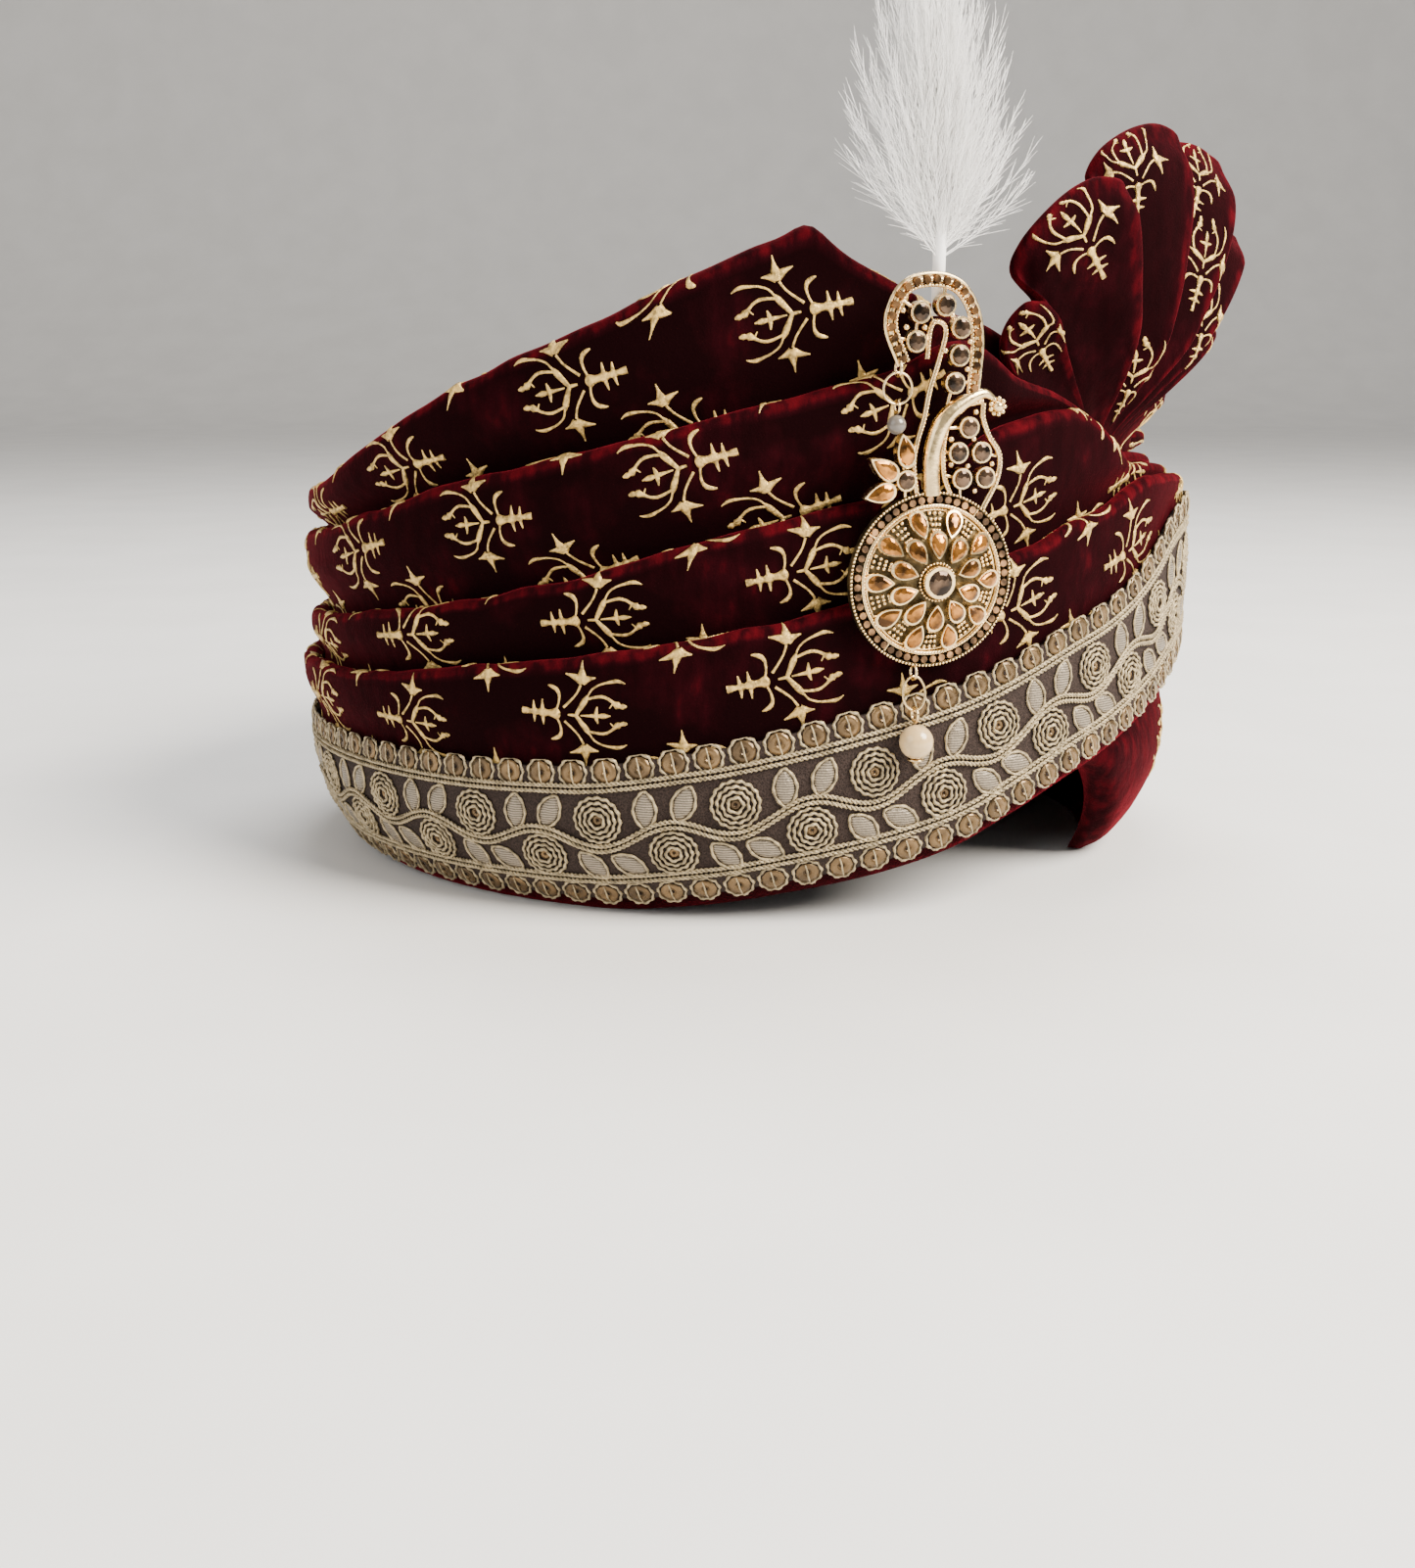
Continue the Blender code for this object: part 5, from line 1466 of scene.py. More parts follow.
class TURBAN_OT_lace(bpy.types.Operator):
    """Make the band: net, corded lines, vine, roses, leaves and sequins"""

    bl_idname = "turban.lace"
    bl_label = "Lace band"

    def execute(self, context):
        look = context.scene.turban_lace
        net = lace_net()
        sections = []
        inner = slice(LACE_EDGE_COLUMNS, LACE_COLUMNS - LACE_EDGE_COLUMNS)
        for face, lean in zip(net.points[:, inner], net.normals[:, inner]):
            back = (face - lean * (LACE_THICKNESS + 0.0001))[::-1]
            sections.append([*face, *back])
        mesh = cloth_mesh("lace_ground", sections, True)
        ground = add_piece(mesh, tulle(), ["lace_band"])
        self.cords(net, look)
        self.sequins(net, look)
        self.roses(net, look)
        self.leaves(net, look)
        return {"FINISHED"}

    def cords(self, net, look):
        """Twisted cord lines beside the sequins, and the wavy pair of cords between the roses."""
        last = LACE_COLUMNS - 1
        rows = lace_places(look.rose_pitch, VINE_MIDDLE)[0]
        count = len(rows)

        def line(share, where):
            return where * ROWS_ROUND, np.full(len(where), share * last)

        def vine(shift, where):
            wave = VINE_MIDDLE - VINE_SWING * np.cos(2.0 * np.pi * where * count)
            along = np.interp(where * count, np.arange(count + 1), [*rows, ROWS_ROUND])
            return along, (wave + shift / LACE_WIDTH) * last

        for name, course, places, lift in (
            ("lace_lines", line, CORD_LINES, 0.00042), ("lace_vine", vine, VINE_PAIR, 0.00062),
        ):
            strands = []
            for where in places:
                strands += twisted(net, functools.partial(course, where), lift)
            add_piece(strand_mesh(name, strands, cyclic=True), surface("lace_cord"))

    def sequins(self, net, look):
        """Rows of sequins along both edges, each in a scalloped ring of cord."""
        spots, middles = [], []
        for share in SEQUIN_LINES:
            rows, column = lace_places(look.sequin_pitch, share)
            spots += [(row, column, 0.0, 1.0) for row in rows]
        for rows, column in rose_places(look):
            middles += [(row, column, 0.0, 0.50) for row in rows]
        disc = sequin_mesh(look.sequin_size)
        add_laid("lace_sequins", disc, net, spots + middles, surface("sequin_foil"))
        ring = knotted_ring(0.60 * look.sequin_size, 0.00036, 0.0021)
        builder = bmesh.new()
        builder.from_mesh(strand_mesh("scallop", [ring], cyclic=True))
        builder.from_mesh(strand_mesh("stitch", [SEQUIN_STITCH]))
        add_laid("lace_scallops", mesh_from(builder, "ring"), net, spots, surface("lace_cord"))

    def roses(self, net, look):
        """Roses of wavy cord rings, one inside the other."""
        half = 0.5 * look.rose_size
        rings = [knotted_ring(half * share, 0.00037, 0.0020) for share in ROSE_RINGS]
        pattern = strand_mesh("rose", rings, cyclic=True)
        for vertex in pattern.vertices:
            vertex.co.z += 0.0004 + 0.0006 * (1.0 - math.hypot(vertex.co.x, vertex.co.y) / half)
        spots = []
        for rows, column in rose_places(look):
            spots += [(row, column, 29.0 * k, 1.0) for k, row in enumerate(rows)]
        add_laid("lace_roses", pattern, net, spots, surface("lace_cord"))

    def leaves(self, net, look):
        """Pairs of satin leaves: upright between the upper roses, slanted beside the lower ones."""
        spots = []
        for share, shift, lean in LEAF_PAIRS:
            rows, column = lace_places(look.rose_pitch, share, shift)
            spots += [(row, column, lean, 1.0) for row in rows]
        add_laid("lace_leaves", leaf_mesh(0.0080, 0.0044), net, spots, surface("satin_stitch"))
        edge = strand_mesh("leaf_edge", [leaf_outline(0.0086, 0.0051, 0.00036)], cyclic=True)
        for vertex in edge.vertices:
            vertex.co.z += 0.0003
        add_laid("lace_leaf_edges", edge, net, spots, surface("lace_cord"))

# Clip. Its outlines are in shares of the disc's radius, its heights in shares of the metal's
# thickness, and its paths and points in metres in the clip's own frame.


def seat_matrix():
    """The clip's own frame: X to the right, Y up along the clip, Z out of its face."""
    angle = math.radians(CLIP_AZIMUTH)
    out = Vector((math.cos(angle) / HALF_WIDTH, math.sin(angle) / HALF_DEPTH, 0.0)).normalized()
    turn = Matrix(((-out.y, out.x, 0.0), (0.0, 0.0, 1.0), out)).transposed().to_4x4()
    tilt = Matrix.Rotation(math.radians(CLIP_TILT), 4, "X")
    centre = place(CLIP_AZIMUTH, FOLD_SWELL, CLIP_HEIGHT) + out * CLIP_STANDOFF
    return Matrix.Translation(centre) @ turn @ tilt


def dome(right, up):
    """How far the disc's face stands out at a place on it, in metres."""
    radius = math.hypot(right, up) / (WIRE_RING * DISC_RADIUS)
    return DOME_RISE * max(0.0, 1.0 - radius * radius)


def round_outline(right, up, radius, sides):
    turns = [2.0 * math.pi / sides * (i + 0.5) for i in range(sides)]
    return [(right + radius * math.cos(turn), up + radius * math.sin(turn)) for turn in turns]


def drop_outline(right, up, length, width, point_angle, sides):
    """A pointed drop. The point lies towards point_angle, in degrees from upright."""
    lean = math.radians(point_angle)
    found = []
    for index in range(sides):
        t = 2.0 * math.pi * index / sides
        across = -0.62 * width * math.sin(t) * math.sin(0.5 * t) ** 0.8
        along = 0.5 * length * math.cos(t)
        found.append((
            right + across * math.cos(lean) - along * math.sin(lean),
            up + across * math.sin(lean) + along * math.cos(lean),
        ))
    return found


def petal_outlines(scale, sides):
    """Outlines of the drop-shaped stones on the disc, the inner ring first."""
    for radius, shift in ((INNER_RING, 0.0), (OUTER_RING, 0.5)):
        for index in range(PETAL_COUNT):
            angle = 360.0 * (index + shift) / PETAL_COUNT
            turn = math.radians(angle)
            right, up = -radius * math.sin(turn), radius * math.cos(turn)
            length, width = PETAL_LENGTH * scale, PETAL_WIDTH * scale
            yield drop_outline(right, up, length, width, angle + 180.0, sides)


def leaf_outlines(scale, sides):
    for right, up, lean in LEAF_ROWS:
        yield drop_outline(right, up, LEAF_LENGTH * scale, LEAF_WIDTH * scale, lean, sides)


def round_outlines(radius, sides):
    for right, up in (*HOOK_STONES, *PAISLEY_STONES, SIDE_STONE):
        yield round_outline(right, up, radius, sides)


def stack(builder, outline, levels, domed):
    """Extrudes an outline through levels of (share of its size, height out of the clip)."""
    size = len(outline)
    centre = Vector([sum(p[axis] for p in outline) / size for axis in (0, 1)]) * DISC_RADIUS
    made = bmesh.ops.create_circle(builder, cap_ends=True, segments=size, radius=1.0)
    verts = list(made["verts"])
    top = verts[0].link_faces[0]
    before, low = levels[0]
    for vertex, (right, up) in zip(verts, outline):
        vertex.co = (right * DISC_RADIUS, up * DISC_RADIUS, low)
        vertex.co.xy = centre + (vertex.co.xy - centre) * before
    for share, out in levels[1:]:
        made = bmesh.ops.extrude_face_region(builder, geom=[top])
        top = next(item for item in made["geom"] if isinstance(item, bmesh.types.BMFace))
        for vertex in top.verts:
            vertex.co.xy = centre + (vertex.co.xy - centre) * (share / before)
            vertex.co.z = out
            verts.append(vertex)
        before = share
    if domed:
        for vertex in verts:
            across = (vertex.co.xy - centre).dot(centre)
            fall = across * 2.0 * DOME_RISE / (WIRE_RING * DISC_RADIUS) ** 2
            vertex.co.z += dome(*centre) - fall


def finish_clip(name, builder, material, replaced=(), shade_smooth=False):
    """Turns a bmesh in the clip's frame into a finished piece."""
    bmesh.ops.recalc_face_normals(builder, faces=builder.faces)
    mesh = mesh_from(builder, name)
    mesh.transform(seat_matrix())
    return add_piece(mesh, material, replaced, shade_smooth)


def clip_path(path, steps, lift):
    """A smooth path on the clip."""
    points = curve_through(path, steps) * DISC_RADIUS
    return np.column_stack([points, np.full(len(points), lift * METAL_THICKNESS)])


def clip_circle(share, steps, lift):
    turns = 2.0 * np.pi * np.arange(steps) / steps
    radius = share * DISC_RADIUS
    height = np.full(steps, lift * METAL_THICKNESS)
    return np.column_stack([radius * np.cos(turns), radius * np.sin(turns), height])


def along_path(points, spacing, closed=False):
    """Evenly spaced points on a path."""
    if closed:
        points = np.vstack([points, points[:1]])
    steps = np.linalg.norm(np.diff(points, axis=0), axis=1)
    lengths = np.concatenate([[0.0], np.cumsum(steps)])
    count = max(2, round(lengths[-1] / spacing))
    wanted = (np.arange(count) + 0.5) / count * lengths[-1]
    return np.stack([np.interp(wanted, lengths, points[:, axis]) for axis in range(3)], axis=1)


def beside(points, offset):
    """The path moved sideways in the plane of the clip."""
    ahead = np.gradient(points, axis=0)
    ahead /= np.linalg.norm(ahead, axis=1, keepdims=True)
    side = np.column_stack([-ahead[:, 1], ahead[:, 0], np.zeros(len(points))])
    return points + side * offset * DISC_RADIUS


def scatter(pattern, places):
    """One bmesh with a copy of a mesh at each place."""
    builder = bmesh.new()
    count = len(pattern.vertices)
    for index, where in enumerate(places):
        builder.from_mesh(pattern)
        builder.verts.ensure_lookup_table()
        bmesh.ops.translate(builder, verts=builder.verts[index * count:], vec=Vector(where))
    return builder


def bead_mesh(radius):
    builder = bmesh.new()
    bmesh.ops.create_icosphere(builder, subdivisions=1, radius=radius)
    return mesh_from(builder, "bead")


def gem_mesh(radius, height, sides):
    """A small cut stone with a flat table."""
    builder = bmesh.new()
    bmesh.ops.create_cone(
        builder, cap_ends=True, segments=sides, radius1=radius, radius2=0.78 * radius, depth=height,
    )
    return mesh_from(builder, "gem")


class TURBAN_OT_clip(bpy.types.Operator):
    """Make the metal of the clip: plate, settings, wires, beads and leaves"""

    bl_idname = "turban.clip"
    bl_label = "Clip metal"

    def execute(self, context):
        self.plate()
        self.settings()
        self.wires()
        self.beads(context.scene.turban_clip.bead)
        return {"FINISHED"}

    def plate(self):
        """The domed plate behind the settings, with its rolled rim. Its very dark colour is painted
        shade for the gaps between the settings.
        """
        thick = METAL_THICKNESS
        ring = WIRE_RING * DISC_RADIUS
        face, under = np.linspace(0.0, 0.955, 14) * ring, np.linspace(0.94, 0.0, 8) * ring
        section = [(radius, 0.70 * thick + dome(radius, 0.0)) for radius in face]
        section += [(share * DISC_RADIUS, lift * thick) for share, lift in PLATE_RIM]
        section += [(radius, dome(radius, 0.0) - 0.10 * thick) for radius in under]
        builder = bmesh.new()
        spin_profile(builder, section, 96)
        finish_clip("clip_plate", builder, surface("darkened_gilt"), ["brooch_frame"], True)

    def settings(self):
        """Rimmed cups for the stones, and the leaves."""
        builder = bmesh.new()
        for outlines, foot, rim, domed in (
            ([round_outline(0.0, 0.0, CENTRE_SETTING, 32)], 0.2, 1.55, True),
            (petal_outlines(PETAL_FULL, 24), 0.3, PETAL_RIM, True),
            (round_outlines(ROUND_SETTING, 20), 0.1, ROUND_RIM, False),
            (leaf_outlines(1.0, 24), 0.06, LEAF_RIM, False),
        ):
            levels = [(share, rim * METAL_THICKNESS * lift) for share, lift in CUP_PROFILE]
            for outline in outlines:
                stack(builder, outline, [(1.0, foot * METAL_THICKNESS), *levels], domed)
        sharp = [edge for edge in builder.edges if edge.calc_length() > 0.0
                 and len(edge.link_faces) == 2 and edge.calc_face_angle(0.0) > 1.2]
        bmesh.ops.bevel(
            builder, geom=sharp, offset=0.00008, offset_type="OFFSET", segments=1, profile=0.5,
            affect="EDGES", material=-1, clamp_overlap=True,
        )
        finish_clip("clip_settings", builder, surface("pale_gilt"))

    def wires(self):
        """Outline wires of hook and paisley, their bars, the crescent and the small loops."""
        hook = clip_path(HOOK_PATH, 6, 0.75)
        paths = [
            (beside(hook, HOOK_HALF), 0.00042), (beside(hook, -HOOK_HALF), 0.00038),
            (clip_path(HOOK_PATH, 6, 0.50), 0.00075),
            (clip_path(HOOK_INNER_PATH, 6, 0.55), 0.00062),
            (clip_path(PAISLEY_LEFT_PATH, 6, 0.75), 0.00068),
            (clip_path(PAISLEY_RIGHT_PATH, 6, 0.75), 0.00068),
            *((clip_path(strut, 3, 0.48), 0.00040) for strut in STRUTS),
        ]
        for index in range(8):
            turn = math.radians(45.0 * index + 10.0)
            bar = [(share * math.cos(turn), share * math.sin(turn)) for share in (0.865, 0.96)]
            paths.append((clip_path(bar, 2, 1.0), 0.00032))
        strands = [(points, np.full(len(points), radius)) for points, radius in paths]
        crescent = clip_path(CRESCENT_PATH, 7, 0.85)
        way = np.linspace(0.0, 1.0, len(crescent))
        widths = np.interp(way, np.linspace(0.0, 1.0, len(CRESCENT_WIDTHS)), CRESCENT_WIDTHS)
        strands.append((crescent, 0.5 * widths * DISC_RADIUS))
        loops = [
            (ring_points(centre, BAIL_RADIUS, BAIL_RADIUS, 90.0, 0.0, 28), np.full(28, BAIL_WIRE))
            for centre in bail_centres()
        ]
        loops += [
            (clip_circle(share, 80, lift), np.full(80, radius))
            for share, lift, radius in ((RIM_LINE, 1.15, 0.00050), (0.80, 0.95, 0.00030))
        ]
        builder = bmesh.new()
        builder.from_mesh(strand_mesh("wires", strands, resolution=2))
        builder.from_mesh(strand_mesh("loops", loops, cyclic=True, resolution=2))
        finish_clip("clip_wires", builder, surface("pale_gilt"), (), True)

    def beads(self, bead):
        """Beaded edges, gold balls between the settings, and the curled end of the crescent."""
        places = []
        for path, spacing, closed in (
            (clip_circle(RIM_LINE, 80, 1.42), 1.02, True),
            (clip_circle(0.990, 80, 1.15), 1.15, True),
            (clip_path(HOOK_INNER_PATH, 6, 0.95), 1.1, False),
            (beside(clip_path(HOOK_PATH, 6, 1.05), -HOOK_HALF), 1.1, False),
            (clip_path(PAISLEY_LEFT_PATH, 6, 1.20), 1.1, False),
            (clip_path(PAISLEY_RIGHT_PATH, 6, 1.20), 1.1, False),
        ):
            places += [*along_path(path, spacing * bead, closed)]
        for x, y, _ in along_path(clip_circle(0.215, 30, 0.0), 1.1 * bead, True):
            places.append((x, y, METAL_THICKNESS + dome(x, y)))
        clusters = []
        for index, row, column in itertools.product(range(PETAL_COUNT), range(4), (-1, 0, 1)):
            turn = 2.0 * math.pi * index / PETAL_COUNT
            radius = (0.575 + 0.062 * row) * DISC_RADIUS
            side = column * (0.034 + 0.010 * row) * DISC_RADIUS
            x = -radius * math.sin(turn) + side * math.cos(turn)
            y = radius * math.cos(turn) + side * math.sin(turn)
            clusters.append((x, y, 0.95 * METAL_THICKNESS + dome(x, y)))
        *balls, middle = [
            np.array((right * DISC_RADIUS, up * DISC_RADIUS, METAL_THICKNESS))
            for right, up in (*CLIP_BALLS, CURL_PLACE)
        ]
        curl = [
            middle + (CURL_RADIUS * math.cos(turn), CURL_RADIUS * math.sin(turn), 0.0003)
            for turn in np.arange(9) * 0.698
        ]
        builder = bmesh.new()
        for radius, where in (
            (0.5 * bead, places), (0.00070, balls), (0.68 * bead, clusters), (0.00062, curl),
        ):
            builder.from_mesh(mesh_from(scatter(bead_mesh(radius), where), "beads"))
        boss = bmesh.ops.create_uvsphere(builder, u_segments=20, v_segments=12, radius=0.0012)
        bmesh.ops.translate(builder, verts=boss["verts"], vec=Vector(middle + (0.0, 0.0, 0.0005)))
        finish_clip("clip_beads", builder, surface("pale_gilt"), (), True)


def ring_points(centre, half_height, half_width, turn, lean, steps):
    """Middle line of a wire loop: turn is its angle about the upright axis, in degrees."""
    facing = Matrix.Rotation(-math.atan(lean), 4, "X") @ Matrix.Rotation(math.radians(turn), 4, "Y")
    found = []
    for step in range(steps):
        angle = 2.0 * math.pi * step / steps
        spot = Vector((half_width * math.cos(angle), half_height * math.sin(angle), 0.0))
        found.append(centre + facing @ spot)
    return found


def drop_out(up):
    """How far the hanging drop stands out from the clip's back, at a height in metres."""
    return BAIL_OUT + (-DISC_RADIUS - up) * DROP_LEAN


def bail_centres():
    """Middles of the loops that the hanging pearl and the side pearl hang from."""
    drop_up = -DISC_RADIUS - 0.75 * BAIL_RADIUS
    return (
        Vector((DROP_LINE * DISC_RADIUS, drop_up, drop_out(drop_up))),
        Vector((SIDE_LINE * DISC_RADIUS, SIDE_BAIL_UP * DISC_RADIUS, BAIL_OUT)),
    )


def stone_names(kind, count):
    return ["stone_%s_%02d" % (kind, index + 1) for index in range(count)]


class TURBAN_OT_stones(bpy.types.Operator):
    """Cut the stones: amber drops and leaves, smoky rounds, and the small brown ones"""

    bl_idname = "turban.stones"
    bl_label = "Stones"

    def execute(self, context):
        seed = context.scene.turban_clip.seed
        petals = petal_outlines(PETAL_FULL * STONE_SHARE, 14)
        names = stone_names("inner", PETAL_COUNT) + stone_names("outer", PETAL_COUNT)
        self.cut("amber_drops", "amber_stone", names, ((petals, PETAL_RIM, True),))
        leaves, names = leaf_outlines(STONE_SHARE, 16), stone_names("leaf", len(LEAF_ROWS))
        self.cut("amber_leaves", "amber_stone", names, ((leaves, LEAF_RIM, False),))
        names = ["stone_centre", *stone_names("hook", 6), *stone_names("paisley", 5), "stone_side"]
        self.cut("smoky_rounds", "smoky_stone", names, (
            ([round_outline(0.0, 0.0, CENTRE_STONE, 16)], 1.5, True),
            (round_outlines(ROUND_STONE, 12), ROUND_RIM, False),
        ))
        seeds = [*along_path(clip_circle(0.918, 80, 1.02), 1.03 * seed, True)]
        seeds += [*along_path(clip_path(HOOK_PATH, 6, 1.05), 1.12 * seed)]
        builder = scatter(gem_mesh(0.5 * seed, 0.0010, 8), seeds)
        finish_clip("seed_stones", builder, surface("seed_stone"))
        return {"FINISHED"}

    def cut(self, name, slot, names, groups):
        """Stands each outline of the groups on its seat, cut back to a small table."""
        builder = bmesh.new()
        for outlines, seat, domed in groups:
            foot = seat * METAL_THICKNESS + STONE_SEAT_GAP
            levels = [(share, foot + lift * STONE_RISE) for share, lift in STONE_CUT]
            for outline in outlines:
                stack(builder, outline, levels, domed)
        finish_clip(name, builder, surface(slot), names)


class TURBAN_OT_drops(bpy.types.Operator):
    """Hang the two pearls from their rings"""

    bl_idname = "turban.drops"
    bl_label = "Hanging pearls"

    def execute(self, context):
        clear = BAIL_WIRE + LINK_WIRE_RADIUS + 0.0001
        bail, side_bail = bail_centres()

        middle = bail.y - BAIL_RADIUS + clear - LINK_HALF_HEIGHT
        centre = Vector((bail.x, middle, drop_out(middle)))
        shape = (LINK_HALF_HEIGHT, LINK_HALF_WIDTH, 0.0, DROP_LEAN)
        self.loop("link_ring", "jump_ring", centre, shape)
        eye_up = middle - LINK_HALF_HEIGHT + clear - BAIL_RADIUS
        centre = Vector((bail.x, eye_up, drop_out(eye_up)))
        self.loop("drop_eye", "pearl_eye", centre, (BAIL_RADIUS, BAIL_RADIUS, 90.0, 0.0), BAIL_WIRE)
        pearl_up = eye_up - BAIL_RADIUS - BAIL_WIRE - STONE_SEAT_GAP - PEARL_RADIUS
        pearl = Vector((bail.x, pearl_up, drop_out(pearl_up) + 0.0004))
        self.ball("cream_pearl", "pearl", "pearl_drop", pearl, PEARL_RADIUS)
        builder = bmesh.new()
        low = -PEARL_RADIUS - STONE_SEAT_GAP
        spin_profile(builder, [
            (share * PEARL_RADIUS, low - drop * PEARL_RADIUS) for share, drop in PEARL_CAP
        ], 24)
        upright = Matrix.Rotation(-0.5 * math.pi, 3, "X")
        bmesh.ops.rotate(builder, verts=builder.verts, cent=(0, 0, 0), matrix=upright)
        bmesh.ops.translate(builder, verts=builder.verts, vec=pearl)
        finish_clip("drop_cap", builder, surface("pale_gilt"), ["pearl_cap"], True)

        middle = side_bail.y - BAIL_RADIUS + clear - SIDE_LINK_RADIUS
        centre = Vector((side_bail.x, middle, BAIL_OUT))
        self.loop("side_link", "side_ring", centre, (SIDE_LINK_RADIUS, SIDE_LINK_RADIUS, 0.0, 0.0))
        radius = 0.8 * BAIL_RADIUS
        eye_up = middle - SIDE_LINK_RADIUS + clear - radius
        centre = Vector((side_bail.x, eye_up, BAIL_OUT))
        self.loop("side_pearl_eye", "side_eye", centre, (radius, radius, 90.0, 0.0))
        pearl_up = eye_up - radius - LINK_WIRE_RADIUS - STONE_SEAT_GAP - SIDE_PEARL_RADIUS
        pearl = Vector((side_bail.x, pearl_up, BAIL_OUT))
        self.ball("grey_side_pearl", "grey_pearl", "pearl_side", pearl, SIDE_PEARL_RADIUS)
        return {"FINISHED"}

    def loop(self, name, node, centre, shape, wire=LINK_WIRE_RADIUS):
        """A wire loop. Shape is half its height, half its width, its turn and its lean."""
        points = ring_points(centre, *shape, 32)
        mesh = strand_mesh(name, [(points, np.full(32, wire))], cyclic=True, resolution=2)
        mesh.transform(seat_matrix())
        add_piece(mesh, surface("pale_gilt"), [node])

    def ball(self, name, slot, node, centre, radius):
        builder = bmesh.new()
        bmesh.ops.create_uvsphere(builder, u_segments=40, v_segments=24, radius=radius)
        bmesh.ops.translate(builder, verts=builder.verts, vec=centre)
        finish_clip(name, builder, surface(PEARL_LOOKS[slot]), [node], True)


class TURBAN_OT_plume(bpy.types.Operator):
    """Raise the feather: a quill, its barbs and their fine down"""

    bl_idname = "turban.plume"
    bl_label = "Feather"

    def execute(self, context):
        look = context.scene.turban_plume
        chance = random.Random(FEATHER_SEED)
        foot = np.array((0.03 * DISC_RADIUS, 2.45 * DISC_RADIUS, -QUILL_RADIUS - 0.0003))
        way = np.linspace(0.10, 0.80, 14)
        quill = [foot + (0.0, share * PLUME_HEIGHT, -0.0010 * share) for share in way]
        radii = (QUILL_RADIUS, 1.1 * QUILL_RADIUS, 0.0003)
        radii = np.interp(np.linspace(0.0, 1.0, 14), (0.0, 0.35, 1.0), radii)
        barbs, hairs = [], []
        for index in range(look.barbs):
            barb = self.barb(foot, index / look.barbs, chance)
            barbs.append((barb, np.linspace(0.00013, 0.00004, len(barb))))
            hairs += self.hairs(barb, look.barbules, chance)
        for name, strands, resolution, nodes in (
            ("quill", [(quill, radii)], 3, ["plume"]), ("plume_barbs", barbs, 0, ()),
            ("plume_down", hairs, 0, ()),
        ):
            mesh = strand_mesh(name, strands, resolution=resolution)
            mesh.transform(seat_matrix())
            add_piece(mesh, surface("white_down"), nodes)
        return {"FINISHED"}

    def barb(self, foot, share, chance):
        """One soft barb: it leaves the quill, swings out early and then runs upwards."""
        level = 0.44 + 0.56 * share ** 0.85
        side = clamp(chance.gauss(0.0, 0.50), -1.0, 1.0)
        tapered = math.cos(1.25 * max(0.0, level - 0.60) / 0.40)
        full = 0.215 * min(smooth((level - 0.15) / 0.33), tapered)
        start = np.array((0.0, 0.225 + 0.42 * (level - 0.44) * (1.0 - 0.5 * abs(side)), 0.0))
        tip = (side * full - 0.050 * level, level - 0.06 * abs(side), chance.uniform(-0.07, 0.07))
        middle = start + (tip - start) * (0.64, 0.44, 0.5)
        t = np.linspace(0.0, 1.0, 13)[:, None]
        path = start * (1 - t) ** 2 + middle * 2 * t * (1 - t) + np.array(tip) * t * t
        return foot + path * PLUME_HEIGHT

    def hairs(self, barb, count, chance):
        """Fine hairs that stand off one barb to all sides."""
        found = []
        for index in range(count):
            where = 0.12 + 0.88 * (index + chance.random()) / count
            at = where * (len(barb) - 1)
            low = min(int(at), len(barb) - 2)
            ahead = barb[low + 1] - barb[low]
            base = barb[low] + ahead * (at - low)
            ahead = ahead / np.linalg.norm(ahead)
            aside = np.array([chance.gauss(0.0, 1.0) for _ in range(3)])
            aside -= ahead * aside.dot(ahead)
            aside /= np.linalg.norm(aside)
            length = chance.uniform(0.0045, 0.0100) * (1.20 - 0.65 * where) * smooth(0.35 + where)
            apart = 1.25 - 0.80 * where
            middle = base + length * (0.24 * apart * aside + 0.48 * ahead)
            tip = base + length * (0.46 * apart * aside + 0.90 * ahead)
            found.append(((base, middle, tip), (0.00006, 0.00005, 0.00003)))
        return found


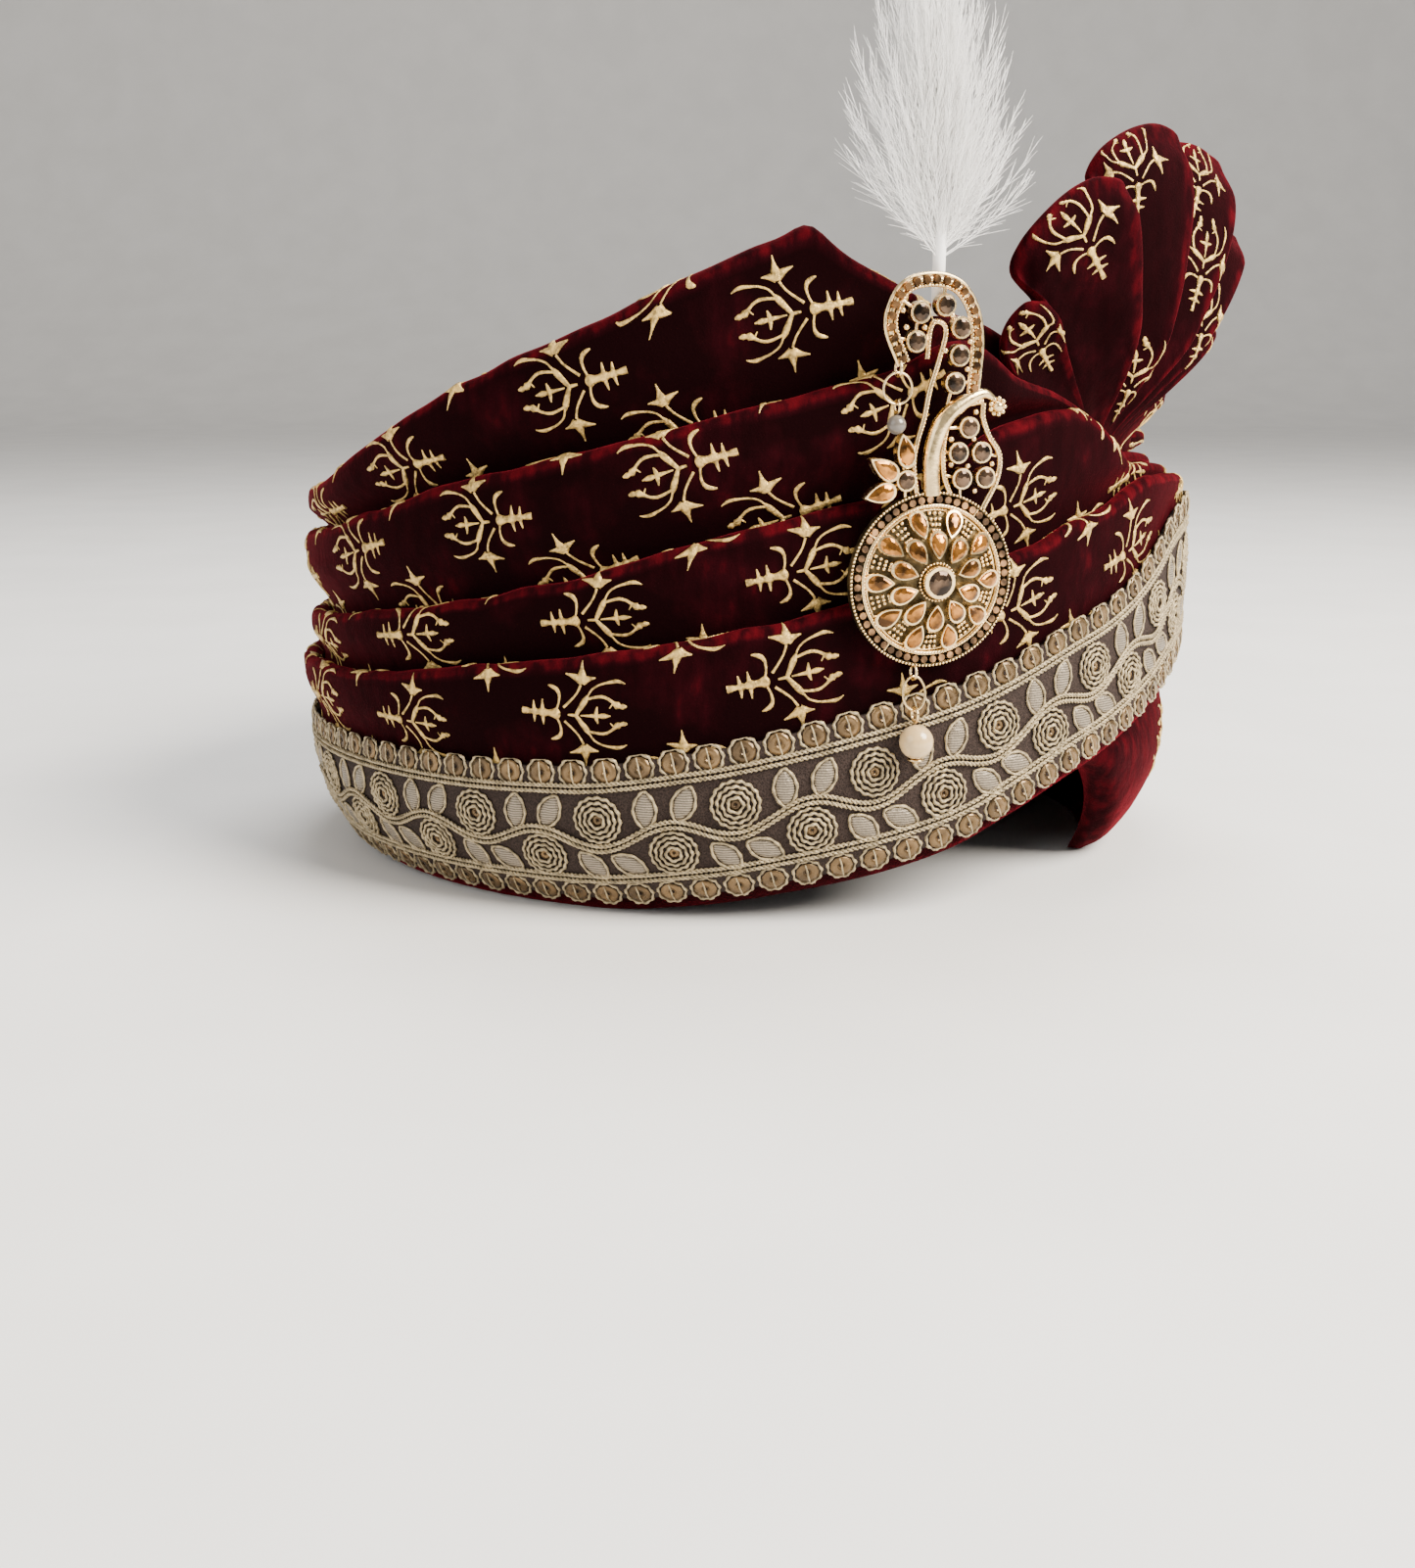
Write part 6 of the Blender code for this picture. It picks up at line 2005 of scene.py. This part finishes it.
class TURBAN_OT_stage(bpy.types.Operator):
    """Set the floor, the lights and the camera"""

    bl_idname = "turban.stage"
    bl_label = "Stage"

    def execute(self, context):
        look = context.scene.turban_stage
        self.floor()
        self.lamp("window", look.key, 0.9, (0.95, -0.55, 0.95), 0.07, (1.0, 0.93, 0.83))
        self.lamp("room", look.fill, 1.4, (-1.1, -0.9, 0.7), 0.08, (1.0, 0.97, 0.93))
        self.lamp("above", 1.8 * look.fill, 0.8, (0.1, 0.5, 1.3), 0.1, (1.0, 1.0, 1.0))
        world = bpy.data.worlds.new("even_light")
        world.use_nodes = True
        even = world.node_tree.nodes["Background"]
        even.inputs["Color"].default_value = (1.0, 0.985, 0.965, 1.0)
        even.inputs["Strength"].default_value = look.sky
        context.scene.world = world

        camera = bpy.data.cameras.new("camera")
        camera.sensor_fit = "HORIZONTAL"
        camera.sensor_width = SENSOR_WIDTH
        camera.lens = SENSOR_WIDTH * CAMERA_FOCUS / PHOTO_WIDTH
        camera.clip_start = 0.01
        camera.clip_end = 20.0
        view = link("camera", camera)
        view.location = Vector(CAMERA_PLACE) + Vector((SHIFT.x, SHIFT.y, 0.0))
        view.rotation_euler = (math.radians(90.0 - CAMERA_PITCH), 0.0, 0.0)
        context.scene.camera = view
        return {"FINISHED"}

    def floor(self):
        """A plain sweep: flat below the turban and curved up behind it."""
        builder = bmesh.new()
        bmesh.ops.create_grid(builder, x_segments=1, y_segments=48, size=1.0)
        for vertex in builder.verts:
            across, along = vertex.co.x, 0.5 * (vertex.co.y + 1.0)
            bend = 0.5 * math.pi * clamp((along - 0.5) / 0.25)
            depth = FLOOR_FRONT + (FLOOR_BACK - FLOOR_FRONT) * min(1.0, along / 0.5)
            depth += SWEEP_RADIUS * math.sin(bend)
            height = SWEEP_RADIUS * (1.0 - math.cos(bend)) + max(0.0, along - 0.75) * WALL_SLOPE
            vertex.co = (FLOOR_HALF_WIDTH * across, depth, height)
        bmesh.ops.recalc_face_normals(builder, faces=builder.faces)
        mesh = mesh_from(builder, "floor")
        mesh.polygons.foreach_set("use_smooth", [True] * len(mesh.polygons))
        mesh.materials.append(surface("pale_floor"))
        link("floor", mesh)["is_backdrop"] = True

    def lamp(self, name, power, size, where, aim_height, colour):
        light = bpy.data.lights.new(name, "AREA")
        light.shape = "DISK"
        light.energy = power
        light.size = size
        light.color = colour
        piece = link(name, light)
        piece.location = where
        facing = Vector((0.0, 0.0, aim_height)) - Vector(where)
        piece.rotation_euler = facing.to_track_quat("-Z", "Y").to_euler()


OPERATORS = (
    TURBAN_OT_folds, TURBAN_OT_crown, TURBAN_OT_nape, TURBAN_OT_fan, TURBAN_OT_embroidery,
    TURBAN_OT_lace, TURBAN_OT_clip, TURBAN_OT_stones, TURBAN_OT_drops, TURBAN_OT_plume,
    TURBAN_OT_stage,
)
SETTINGS = (
    ("turban_cloth", TurbanCloth), ("turban_lace", TurbanLace), ("turban_clip", TurbanClip),
    ("turban_plume", TurbanPlume), ("turban_stage", TurbanStage),
)


class TURBAN_PT_panel(bpy.types.Panel):
    """Lists the turban's pieces and their settings"""

    bl_idname = "TURBAN_PT_panel"
    bl_label = "Tied Turban"
    bl_space_type = "VIEW_3D"
    bl_region_type = "UI"
    bl_category = "Turban"

    def draw(self, context):
        for operator in OPERATORS:
            self.layout.operator(operator.bl_idname)
        for name, group in SETTINGS:
            box = self.layout.box()
            box.label(text=group.__doc__)
            settings = getattr(context.scene, name)
            for key in group.__annotations__:
                box.prop(settings, key)


def register():
    for name, group in SETTINGS:
        bpy.utils.register_class(group)
        setattr(bpy.types.Scene, name, bpy.props.PointerProperty(type=group))
    for kind in (*OPERATORS, TURBAN_PT_panel):
        bpy.utils.register_class(kind)


def unregister():
    for kind in (TURBAN_PT_panel, *reversed(OPERATORS)):
        bpy.utils.unregister_class(kind)
    for name, group in SETTINGS:
        delattr(bpy.types.Scene, name)
        bpy.utils.unregister_class(group)


def main():
    register()
    for operator in OPERATORS:
        group, name = operator.bl_idname.split(".")
        getattr(getattr(bpy.ops, group), name)()
    lists = [[float(number) for number in corner] for corner in (*CAD_BOX, *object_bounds())]


if __name__ == "__main__":
    main()
